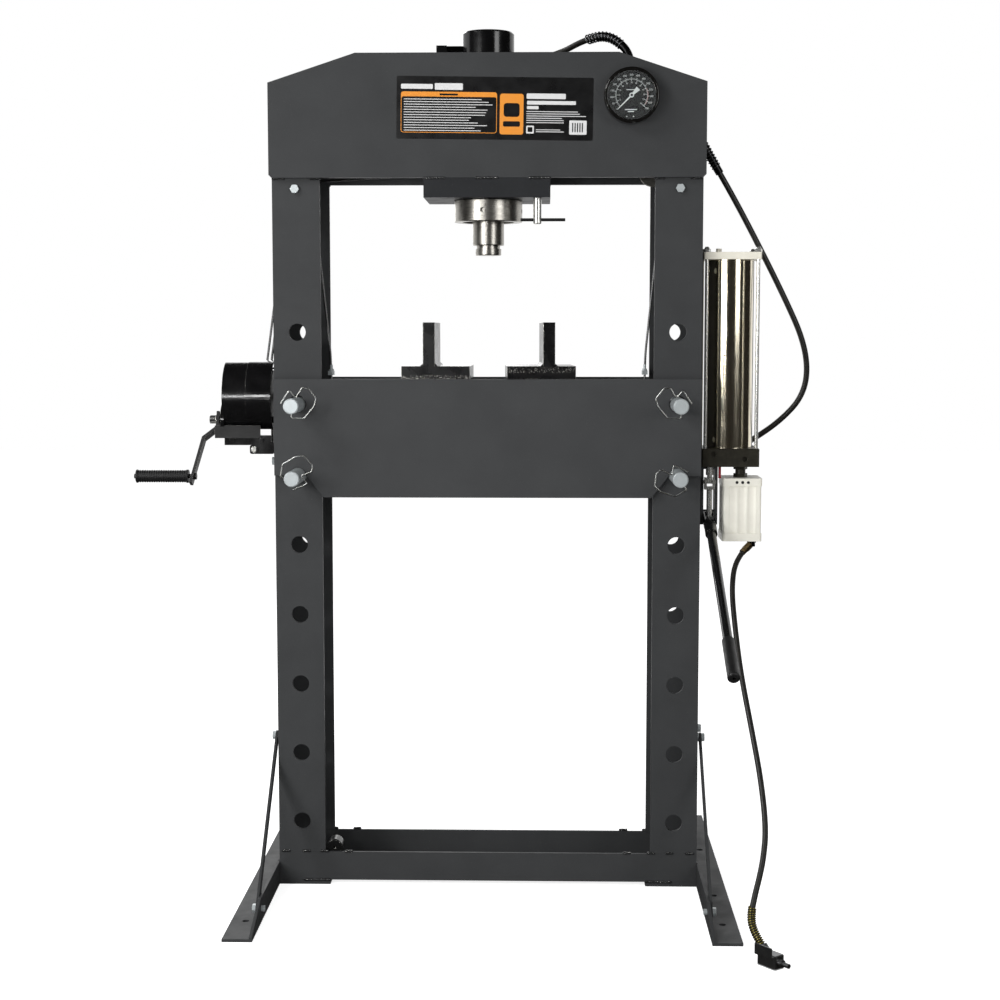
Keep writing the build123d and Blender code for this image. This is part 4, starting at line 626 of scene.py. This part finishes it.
# %% Rope routes, in metres
left_rope = [(-0.503, 0.0, 1.078), (-0.503, -0.028, 1.078), (-0.500, -0.028, 1.022),
             (-0.497, 0.02985, 1.022), (-0.4887, 0.0265, 1.0780), (-0.4306, 0.0027, 1.4694),
             (-0.42399, 0.0, 1.5135), (-0.37902, 0.0, 1.5135), (-0.3743, 0.0, 1.4689),
             (-0.3450, 0.0, 1.1880), (-0.339, 0.0, 1.130), (-0.339, 0.0, 1.048)]
right_rope = [(-0.493, 0.0, 1.078), (-0.493, -0.028, 1.078), (-0.490, -0.028, 1.022),
              (-0.487, 0.02592, 1.022), (-0.4800, 0.0300, 1.0772), (-0.4303, 0.0587, 1.4678),
              (-0.42463, 0.062, 1.51217), (-0.3797, 0.062, 1.5149), (0.3375, 0.062, 1.5585),
              (0.38237, 0.062, 1.56127), (0.3779, 0.062, 1.5165), (0.3449, 0.062, 1.1885),
              (0.339, 0.062, 1.130), (0.339, 0.062, 1.048)]
rope_steel = plated("Wire_rope_steel", "#8f9194", "#6f6d69", 0.36, 0.9)
ropes = [from_tree(name, route_curve(name + "_route", points), tube,
                   {"Radius": 0.00235, "Lobe depth": 0.12, "Lay length": 0.032, "Step": 0.003,
                    "Sides": 24, "Lobes": 6, "Finish": rope_steel}, "frame")
         for name, points in (("left_lifting_rope", left_rope), ("right_lifting_rope", right_rope))]
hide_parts("lift_ropes")
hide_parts("lift_ropes")

# %% [markdown]
# ## Dial of the pressure gauge
# The dial is a lacquered disc with two printed scales over 260 degrees: a ring, long and short ticks,
# plain numbers, and a red end zone. Ticks repeat along an arc, so Geometry Nodes place them: points on
# an arc, a bar on each point turned to face the middle. Numbers are text curves turned into mesh.

# %% Tick tree
def tick_tree():
    tree, given = open_tree("Ticks_on_arc", "Ticks", Float=["Radius", "Tick length", "Tick width",
                                                            "Thickness", "First angle", "Sweep"],
                            Int=["Count"], Material=["Ink"], Vector=["Place"])
    index = add(tree, "GeometryNodeInputIndex").outputs[0]
    share = maths(tree, "DIVIDE", index, maths(tree, "SUBTRACT", given["Count"], 1.0))
    angle = maths(tree, "MULTIPLY_ADD", share, given["Sweep"], given["First angle"])
    points = add(tree, "GeometryNodePoints", {"Count": given["Count"]})
    way = add(tree, "ShaderNodeCombineXYZ", {"X": maths(tree, "COSINE", angle),
                                             "Z": maths(tree, "SINE", angle)})
    spot = add(tree, "ShaderNodeVectorMath", {0: way.outputs[0], "Scale": given["Radius"]},
               operation="SCALE")
    laid = add(tree, "GeometryNodeSetPosition", {"Geometry": points.outputs[0],
                                                 "Position": spot.outputs[0]})
    size = add(tree, "ShaderNodeCombineXYZ", {"X": given["Tick length"], "Y": given["Thickness"],
                                              "Z": given["Tick width"]})
    bar = add(tree, "GeometryNodeMeshCube", {"Size": size.outputs[0]})
    turn = add(tree, "ShaderNodeCombineXYZ", {"Y": maths(tree, "MULTIPLY", angle, -1.0)})
    bars_laid = add(tree, "GeometryNodeInstanceOnPoints",
                    {"Points": laid.outputs[0], "Instance": bar.outputs[0], "Rotation": turn.outputs[0]})
    moved = add(tree, "GeometryNodeTransform", {"Geometry": bars_laid.outputs[0],
                                                "Translation": given["Place"]})
    real = add(tree, "GeometryNodeRealizeInstances", {"Geometry": moved.outputs[0]})
    inked = add(tree, "GeometryNodeSetMaterial", {"Geometry": real.outputs[0],
                                                  "Material": given["Ink"]})
    add(tree, "NodeGroupOutput", {"Ticks": inked.outputs[0]})
    return tree


ticks = tick_tree()
gauge_low, gauge_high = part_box("gauge_glass")
gauge_x = (gauge_low[0] + gauge_high[0]) / 2
gauge_z = (gauge_low[2] + gauge_high[2]) / 2
dial_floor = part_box("gauge_case")[0][1] + 9.0 * MM
dial_face = dial_floor - 0.6 * MM
first_angle = math.radians(223.5)
sweep = math.radians(-264.5)
print("dial centre:", round(gauge_x, 4), round(gauge_z, 4), "face at", round(dial_face, 4))

# %% Dial disc, scales and numbers
def ring_points(r, start, end, steps):
    return [(gauge_x + r * math.cos(start + (end - start) * i / steps),
             gauge_z + r * math.sin(start + (end - start) * i / steps)) for i in range(steps + 1)]


def arc_band(inner, outer, start, end, steps=48):
    return ring_points(outer * MM, start, end, steps) + ring_points(inner * MM, end, start, steps)


disc = slab(ring_points(49.6 * MM, 0, 2 * math.pi * 63 / 64, 63), dial_floor - 0.2 * MM, dial_face)
finish_piece("dial_disc", disc, dial_black, "frame")
ring = [slab(arc_band(31.8, 32.2, first_angle, first_angle + sweep), dial_face, dial_face - 0.15 * MM)]
finish_piece("dial_ring", merged(ring), dial_white, "frame")
zone = [slab(arc_band(32.4, 34.2, math.radians(24), math.radians(-34)), dial_face,
             dial_face - 0.12 * MM)]
finish_piece("dial_red_zone", merged(zone), dial_red, "frame")
blank = bpy.data.meshes.new("tick_start")
for name, radius, length, width, count in (("dial_long_ticks", 33.9, 4.4, 0.9, 15),
                                           ("dial_short_ticks", 33.2, 1.9, 0.5, 71),
                                           ("dial_inner_ticks", 30.1, 3.2, 0.8, 13)):
    from_tree(name, blank.copy(), ticks,
              {"Radius": radius * MM, "Tick length": length * MM, "Tick width": width * MM,
               "Thickness": 0.3 * MM, "First angle": first_angle, "Sweep": sweep, "Count": count,
               "Ink": dial_white, "Place": (gauge_x, dial_face - 0.15 * MM, gauge_z)},
              "frame")


def number_mesh(word, size, x, z):
    """Digits as a thin mesh that faces the operator, centred on a spot of the dial."""
    text = bpy.data.curves.new("digits", "FONT")
    text.body = word
    text.size = size
    text.extrude = 0.1 * MM
    text.align_x, text.align_y = "CENTER", "CENTER"
    text.resolution_u = 3
    mesh = as_mesh(placed("digits", text))
    mesh.transform(Matrix.Translation((x, dial_face - 0.12 * MM, z))
                   @ Matrix.Rotation(math.pi / 2, 4, "X"))
    return mesh


digits = []
for count, r, size, step in ((15, 41.0, 5.2, 50), (13, 25.6, 4.2, 5)):
    for i in range(count):
        a = first_angle + sweep * i / (count - 1)
        digits.append(number_mesh(str(i * step), size * MM, gauge_x + r * MM * math.cos(a),
                                  gauge_z + r * MM * math.sin(a)))
finish_piece("dial_numbers", merged(digits), dial_white, "frame")
fine_print = [slab([(gauge_x + x * MM, gauge_z + z * MM) for x, z in rounded_box(*box, 0.5, 2)], dial_face,
                   dial_face - 0.15 * MM)
              for box in ((-11, 10.4, 6, 12), (-14, -30, 11, -28), (-8, -34, 5, -32.2), (-11, -44, -8.6, -42),
                          (3, -44, 5.4, -42))]
finish_piece("dial_fine_print", merged(fine_print), dial_white, "frame")
needle_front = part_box("gauge_needle")[0][1]
eye = slab(ring_points(2.6 * MM, 0, 2 * math.pi * 23 / 24, 23), needle_front + 0.1 * MM,
           needle_front - 0.3 * MM)
finish_piece("needle_eye", eye, dial_black, "gauge_needle")
print("numbers on the dial:", len(digits))

# %% [markdown]
# ## Weld beads
# Where two plates of the frame meet, a bead of weld was run before painting: a row of overlapping
# ripples, about 7 mm wide. Short beads are seen at the foot of the posts, at the head's shoulders and
# along the bed. One tree lays flattened blobs along a line, each a little different in size from a
# fixed seed, and the powder coat covers them all.

# %% Weld tree
def weld_tree():
    tree, given = open_tree("Weld_bead", "Bead", Geometry=["Lines"], Float=["Ripple spacing", "Bead radius"],
                            Int=["Seed"], Material=["Coat"])
    line = add(tree, "GeometryNodeMeshToCurve", {"Mesh": given["Lines"]})
    dots = add(tree, "GeometryNodeCurveToPoints", {"Curve": line.outputs[0],
                                                   "Length": given["Ripple spacing"]}, mode="LENGTH")
    blob = add(tree, "GeometryNodeMeshIcoSphere", {"Radius": given["Bead radius"], "Subdivisions": 2})
    size = add(tree, "FunctionNodeRandomValue", {2: 0.8, 3: 1.12, "Seed": given["Seed"]},
               data_type="FLOAT")
    stretch = add(tree, "ShaderNodeVectorMath", {0: (1.0, 1.0, 0.75), "Scale": size.outputs[1]},
                  operation="SCALE")
    ripples = add(tree, "GeometryNodeInstanceOnPoints",
                 {"Points": dots.outputs["Points"], "Instance": blob.outputs["Mesh"],
                  "Rotation": dots.outputs["Rotation"], "Scale": stretch.outputs[0]})
    real = add(tree, "GeometryNodeRealizeInstances", {"Geometry": ripples.outputs[0]})
    smooth = add(tree, "GeometryNodeSetShadeSmooth", {"Geometry": real.outputs[0]})
    coated = add(tree, "GeometryNodeSetMaterial", {"Geometry": smooth.outputs[0],
                                                   "Material": given["Coat"]})
    add(tree, "NodeGroupOutput", {"Bead": coated.outputs[0]})
    return tree


def line_mesh(lines):
    mesh = bpy.data.meshes.new("weld_lines")
    points, edges = [], []
    for a, b in lines:
        edges.append((len(points), len(points) + 1))
        points += [tuple(c * MM for c in a), tuple(c * MM for c in b)]
    mesh.from_pydata(points, edges, [])
    return mesh


weld_lines = []
for side in (-1, 1):
    x_in, x_out = side * 350, side * 450
    for y in (-90, 90):
        weld_lines += [((side * 342, y, 10), (side * 395, y, 10))]
        for x in (300, 352, 391, 435):
            weld_lines += [((side * (x - 7), y, 73.5), (side * (x + 7), y, 73.5))]
        weld_lines += [((x_out, y * 0.95, 50), (x_out, y * 0.4, 50))]
    for y in (-90, 90):
        weld_lines += [((x_in, y, 1509), (side * 368, y, 1509)),
                       ((side * 425, y, 1509), (side * 448, y, 1509))]
for x in (-339, -113, 113, 339):
    for y in (-88.5, 88.5):
        for z in (870, 960, 1050):
            weld_lines += [((x + 6, y, z), (x + 6, y, z + 24))]
for y in (-101, 101):
    weld_lines += [((-131, y, 1509), (-88, y, 1509)), ((88, y, 1509), (131, y, 1509)),
                   ((-22, y, 1509), (22, y, 1509))]
from_tree("weld_beads", line_mesh(weld_lines), weld_tree(),
          {"Ripple spacing": 2.2 * MM, "Bead radius": 3.2 * MM, "Seed": 4, "Coat": weld_coat},
          "frame")

# %% [markdown]
# ## Spring guards and grip ribs
# Where a hose leaves a fitting it is kept from kinking by a close-wound spring. The guard is a helix
# about the hose's own line. The helix is worked out from the points of the hose's spline: at each point
# a circle square to the direction, and the wire climbs round it by one pitch a turn. The air hose's solid
# guard is hidden, and a rubber core runs under its wire, so that no gap shows between the turns.

# %% Helix round a path
def helix_round(path, start, end, radius, pitch, per_turn=14):
    """Points of a helix about a path, between two distances along it."""
    spots = [Vector(p) for p in path]
    reached = [0.0]
    for a, b in zip(spots, spots[1:]):
        reached.append(reached[-1] + (b - a).length)
    end = min(end, reached[-1])
    out = []
    side = None
    k = 0
    steps = int((end - start) / pitch * per_turn)
    for i in range(steps + 1):
        s = start + (end - start) * i / steps
        while k < len(spots) - 2 and reached[k + 1] < s:
            k += 1
        way = (spots[k + 1] - spots[k]).normalized()
        here = spots[k] + way * (s - reached[k])
        if side is None:
            side = way.orthogonal().normalized()
        side = (side - way * side.dot(way)).normalized()
        a = 2 * math.pi * i / per_turn
        out.append(tuple(here + (side * math.cos(a) + way.cross(side) * math.sin(a)) * radius))
    return out


def wire_curve(name, points):
    curve = bpy.data.curves.new(name, "CURVE")
    curve.dimensions = "3D"
    spline = curve.splines.new("POLY")
    spline.points.add(len(points) - 1)
    for spot, point in zip(spline.points, points):
        spot.co = (*point, 1.0)
    return curve


black_wire = plated("Blackened_spring_wire", "#77787a", "#4a4a4c", 0.3, 0.9)
guard_route = [(0.521, -0.513, 0.095), (0.51586, -0.52534, 0.07752), (0.522, -0.542, 0.053),
               (0.535, -0.556, 0.034)]
guard_path = route_points(route_curve("air_guard_route", guard_route))
coils = {
    "main_hose_spring": (hose_paths["main_hose"], 0.152, 0.232, 9.4, 7.2, 1.7, black_wire),
    "upper_hose_spring": (hose_paths["upper_hose"], 0.475, 0.56, 9.4, 7.2, 1.7, black_wire),
    "air_hose_spring": (guard_path, 0.0015, 0.0775, 7.3, 4.6, 1.35, brass),
}
for name, (path, start, end, radius, pitch, wire_r, wire) in coils.items():
    turns = helix_round(path, start, end, radius * MM, pitch * MM)
    from_tree(name, wire_curve(name + "_helix", turns), tube,
                              {"Radius": wire_r * MM, "Step": 0.0022, "Sides": 10, "Finish": wire,
                               **plain_tube},
                              "frame")
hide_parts("air_hose_guard")
core = from_tree("air_hose_core", route_curve("air_core_route", guard_route), tube,
                 {"Radius": 0.0057, "Step": 0.004, "Sides": 20, "Finish": rubber, **plain_tube},
                 "frame")

# %% [markdown]
# ## Bolt heads, painted shade in the motor's holes, cover band and ribbed grip
# Some small things have their own finish and shape. Zinc plated hexagon heads with a chamfer sit on the
# crank and on the winch bracket, and a brass union with a hexagon joins the air hose to the motor. The
# winch cover has a seam, read here as one sheet that laps over another. The crank grip is turned from a
# profile with ribs: a half outline runs round the pin's axis, one ring of points for each step of it.

# %% Lathe helper
def lathe(profile, centre, axis, segments=48, flats=None):
    """Turns (distance along the axis, radius) pairs, in mm, into a closed body. With flats the section
    is a polygon with that many sides."""
    way = Vector(axis).normalized()
    side = way.orthogonal().normalized()
    other = way.cross(side)
    count = flats or segments
    solid = bmesh.new()
    rows = []
    for step, r in profile:
        rows.append([solid.verts.new(Vector(centre) + way * step * MM
                                     + (side * math.cos(a) + other * math.sin(a)) * r * MM)
                     for a in (2 * math.pi * i / count for i in range(count))])
    for near, far in zip(rows, rows[1:]):
        for i in range(count):
            solid.faces.new((near[i], near[(i + 1) % count], far[(i + 1) % count], far[i]))
    solid.faces.new(rows[0])
    solid.faces.new(rows[-1])
    return mesh_of(solid, "turned")


def hexagon_head(centre, axis, r, height):
    """Hexagon head with a chamfered crown and a washer under it."""
    crown = [(0, r * 0.98), (height * 0.8, r * 0.98), (height, r * 0.84)]
    return merged([lathe(crown, centre, axis, flats=6),
                   lathe([(-0.4, r * 1.12), (0.9, r * 1.12)], centre, axis, 32)])


grip_low, grip_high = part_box("crank_grip")
grip_y, grip_z = (grip_low[1] + grip_high[1]) / 2, (grip_low[2] + grip_high[2]) / 2
frame_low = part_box("winch_frame")[0]
union_way = Vector(air_route[1]) - Vector(air_route[0])
union = merged([lathe([(-12, 8.8), (3, 8.8), (4, 8.0)], air_route[0], union_way, flats=6),
                lathe([(-1, 7.2), (15, 7.2), (16, 6.4)], air_route[0], union_way, 32)])
crank_nut = hexagon_head((-0.5835, -0.030, 1.003), (-1, 0, 0), 9.9, 14.4)
bracket_bolt = hexagon_head((-0.4985, frame_low[1] + 3.6 * MM, 0.9405), (0, -1, 0), 6.2, 4.2)
finish_piece("crank_nut", crank_nut, zinc, "winch_crank")
finish_piece("bracket_bolt", bracket_bolt, zinc, "frame")
finish_piece("hose_union", union, bronze, "frame")

# %% Dark discs in the motor's holes, band and grip
motor_low, motor_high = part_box("air_motor")
motor_x = (motor_low[0] + motor_high[0]) / 2
# Three dark discs over the pockets in the motor's front: painted shade in the holes.
hole_shade_discs = [lathe([(-0.6, 3.1), (0.5, 3.1), (0.9, 2.2)],
               (motor_x + u * 12 * MM, motor_low[1], motor_high[2] - 8.5 * MM), (0, -1, 0), 24)
         for u in (-1, 0, 1)]
finish_piece("motor_hole_shade_discs", merged(hole_shade_discs), vinyl, "frame")
cover_low, cover_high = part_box("winch_cover")
cover_r = (cover_high[1] - cover_low[1]) / 2
cover_z = cover_high[2] - cover_r
band = bmesh.new()
band_rows = []
for i in range(37):
    a = math.radians(128 - 132 * i / 36)
    for r in (cover_r - 0.4 * MM, cover_r + 0.9 * MM):
        for x in (cover_high[0] - 54 * MM, cover_high[0] - 0.5 * MM):
            band_rows.append(band.verts.new((x, -r * math.cos(a - math.pi / 2), cover_z + r * math.cos(a))))
for i in range(36):
    at = 4 * i
    for a, b in ((0, 1), (1, 3), (3, 2), (2, 0)):
        band.faces.new((band_rows[at + a], band_rows[at + b],
                        band_rows[at + 4 + b], band_rows[at + 4 + a]))
for at in (0, 144):
    band.faces.new([band_rows[at + k] for k in (0, 1, 3, 2)])
finish_piece("cover_band", mesh_of(band, "cover_band"), enamel, "frame")
grip_profile = [(0, 5.2), (0, 14.0), (3, 14.5), (5, 13.6)]
for i in range(20):
    at = 6.0 + i * 5.0
    grip_profile += [(at, 12.3), (at + 1.4, 13.3), (at + 2.6, 13.3), (at + 4.0, 12.3)]
grip_profile += [(107, 13.4), (109, 14.5), (111, 14.2), (112, 12.5), (112, 5.2)]
grip = finish_piece("ribbed_grip", lathe(grip_profile, (grip_high[0], grip_y, grip_z), (-1, 0, 0), 40), vinyl,
                    "crank_grip")
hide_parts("crank_grip")
print("grip length in mm:", round((grip_high[0] - grip_low[0]) * 1000, 1))

# %% [markdown]
# ## Dark strip and tommy bar
# Under the winch cover the photo shows a dark area whose parts can't be told apart. A plain dark strip
# closes it. The tommy bar through the clamp screw is black, so a thin skin lies over it.

# %% Dark strip above the lip of the winch, and the blackened tommy bar
strip_back = frame_low[1] + 3.0 * MM
guard = slab([(-0.582, 0.965), (-0.4845, 0.965), (-0.4845, 0.992), (-0.582, 0.992)],
             strip_back, frame_low[1] + 0.6 * MM)
finish_piece("dark_strip_under_cover", guard, enamel_matt, "frame")
screw_low, screw_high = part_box("clamp_screw")
screw_y = (screw_low[1] + screw_high[1]) / 2
bar_length = (screw_high[0] - screw_low[0]) / MM
bar = lathe([(-0.3, 2.6), (0.3, 3.3), (bar_length - 0.3, 3.3), (bar_length + 0.3, 2.6)],
            (screw_low[0], screw_y, 1.424), (1, 0, 0), 32)
finish_piece("tommy_bar_coat", bar, enamel_matt, "clamp_screw")
print("tommy bar length in mm:", round(bar_length, 1))

# %% [markdown]

# %% [markdown]
# ## Floor, light and camera
# The press stands on a pale floor in front of white. Soft boxes light it from the front left, from high
# on the left and more weakly from the right. Polished metal shows what stands in front of it, and in a
# studio that is a dark room with bright boxes: a half round of dark cloth behind the camera and a dark
# ceiling, seen by gloss only, draw the dark streaks in the tank and the ram. A narrow lamp draws the
# bright band on the winch cover. The camera stands 3.9 m in front at chest height and looks down by
# five degrees.

# %% Floor
floor_material = bpy.data.materials.new("Pale_floor")
floor_material.use_nodes = True
tree = floor_material.node_tree
tree.nodes.clear()
ray = add(tree, "ShaderNodeLightPath")
where = add(tree, "ShaderNodeTexCoord")
grain = add(tree, "ShaderNodeTexNoise", {"Vector": where.outputs["Object"], "Scale": 40.0, "Detail": 3.0})
tone = add(tree, "ShaderNodeMix", {0: grain.outputs[0], 6: linear("#f6f6f6"), 7: linear("#fafafa")},
           data_type="RGBA")
matt = add(tree, "ShaderNodeBsdfDiffuse", {"Color": tone.outputs[2]})
glow = add(tree, "ShaderNodeEmission", {"Color": (1, 1, 1, 1), "Strength": 0.8})
both = add(tree, "ShaderNodeAddShader", {0: matt.outputs[0], 1: glow.outputs[0]})
seen = add(tree, "ShaderNodeMath", {0: ray.outputs["Is Camera Ray"], 1: ray.outputs["Is Glossy Ray"]},
           operation="MAXIMUM")
chosen = add(tree, "ShaderNodeMixShader", {0: seen.outputs[0], 1: matt.outputs[0], 2: both.outputs[0]})
add(tree, "ShaderNodeOutputMaterial", {"Surface": chosen.outputs[0]})
floor_mesh = bpy.data.meshes.new("floor")
floor_mesh.from_pydata([(-14, -14, 0), (14, -14, 0), (14, 14, 0), (-14, 14, 0)], [], [(0, 1, 2, 3)])
floor_mesh.materials.append(floor_material)
floor = placed("floor", floor_mesh)

# %% World
world = bpy.data.worlds.new("studio")
bpy.context.scene.world = world
world.use_nodes = True
tree = world.node_tree
tree.nodes.clear()
ray = add(tree, "ShaderNodeLightPath")
clear = add(tree, "ShaderNodeMath", {0: ray.outputs["Is Camera Ray"],
                                     1: ray.outputs["Is Transmission Ray"]}, operation="MAXIMUM")
look = add(tree, "ShaderNodeMath", {0: clear.outputs[0], 1: ray.outputs["Is Glossy Ray"]},
           operation="MAXIMUM")
plain = add(tree, "ShaderNodeBackground", {"Color": (1, 1, 1, 1), "Strength": 0.26})
white = add(tree, "ShaderNodeBackground", {"Color": (1, 1, 1, 1), "Strength": 1.0})
mixed = add(tree, "ShaderNodeMixShader", {0: look.outputs[0], 1: plain.outputs[0], 2: white.outputs[0]})
add(tree, "ShaderNodeOutputWorld", {"Surface": mixed.outputs[0]})

# %% Lamps
def soft_box(name, place, aim, width, height, watts):
    """A rectangular area lamp that points at a spot."""
    data = bpy.data.lights.new(name, "AREA")
    data.shape = "RECTANGLE"
    data.size, data.size_y, data.energy = width, height, watts
    lamp = placed(name, data)
    lamp.location = place
    lamp.rotation_euler = (Vector(aim) - Vector(place)).to_track_quat("-Z", "Y").to_euler()


soft_box("front_left", (-2.5, -3.3, 1.55), (0, 0, 1.0), 1.0, 1.1, 50)
soft_box("high_left", (-2.9, -2.2, 3.6), (-0.1, 0, 1.4), 1.5, 1.5, 84)
soft_box("band", (-1.05, -3.2, 1.3), (-0.5, 0, 1.0), 0.5, 0.2, 11)
soft_box("front_right", (2.7, -3.2, 2.1), (0.2, 0, 1.2), 1.4, 1.8, 38)
soft_box("rear", (-1.0, 3.4, 2.6), (0, 0, 1.0), 2.4, 2.2, 45)

# %% Dark side of the studio
tent_material = bpy.data.materials.new("Dark_studio_cloth")
tent_material.use_nodes = True
tree = tent_material.node_tree
tree.nodes.clear()
cloth = add(tree, "ShaderNodeEmission", {"Color": linear("#2a2826"), "Strength": 1.0})
add(tree, "ShaderNodeOutputMaterial", {"Surface": cloth.outputs[0]})
dome = bmesh.new()
tent_r = 6.5
rims = []
for row in range(9):
    up = math.radians(90 * row / 8)
    rims.append([dome.verts.new((tent_r * math.cos(up) * math.cos(a), tent_r * math.cos(up) * math.sin(a),
                                 tent_r * math.sin(up) + 0.002))
                 for a in (math.radians(180 + 204 * i / 24) for i in range(25))])
for low_rim, high_rim in zip(rims, rims[1:]):
    for i in range(24):
        dome.faces.new((low_rim[i], low_rim[i + 1], high_rim[i + 1], high_rim[i]))
dome.faces.new(rims[0])
ceiling_r = 4.6
dome.faces.new([dome.verts.new((ceiling_r * math.cos(2 * math.pi * i / 32),
                                ceiling_r * math.sin(2 * math.pi * i / 32), ceiling_r)) for i in range(32)])
tent_mesh = mesh_of(dome, "dark_cloth")
tent_mesh.materials.append(tent_material)
tent = placed("dark_cloth", tent_mesh)
tent.visible_camera = tent.visible_diffuse = tent.visible_shadow = False
tent.visible_transmission = tent.visible_volume_scatter = False

# %% Camera
camera_data = bpy.data.cameras.new("camera")
camera_data.sensor_width = 36.0
camera_data.lens = 64.5
camera_data.clip_end = 60.0
camera = placed("camera", camera_data)
camera.location = (0.1193, -3.8652, 1.1913)
pitch, yaw = math.radians(5.37), math.radians(1.40)
forward = Vector((-math.sin(yaw) * math.cos(pitch), math.cos(yaw) * math.cos(pitch), -math.sin(pitch)))
camera.rotation_euler = forward.to_track_quat("-Z", "Y").to_euler()
bpy.context.scene.camera = camera
bpy.context.scene.view_settings.view_transform = "Standard"
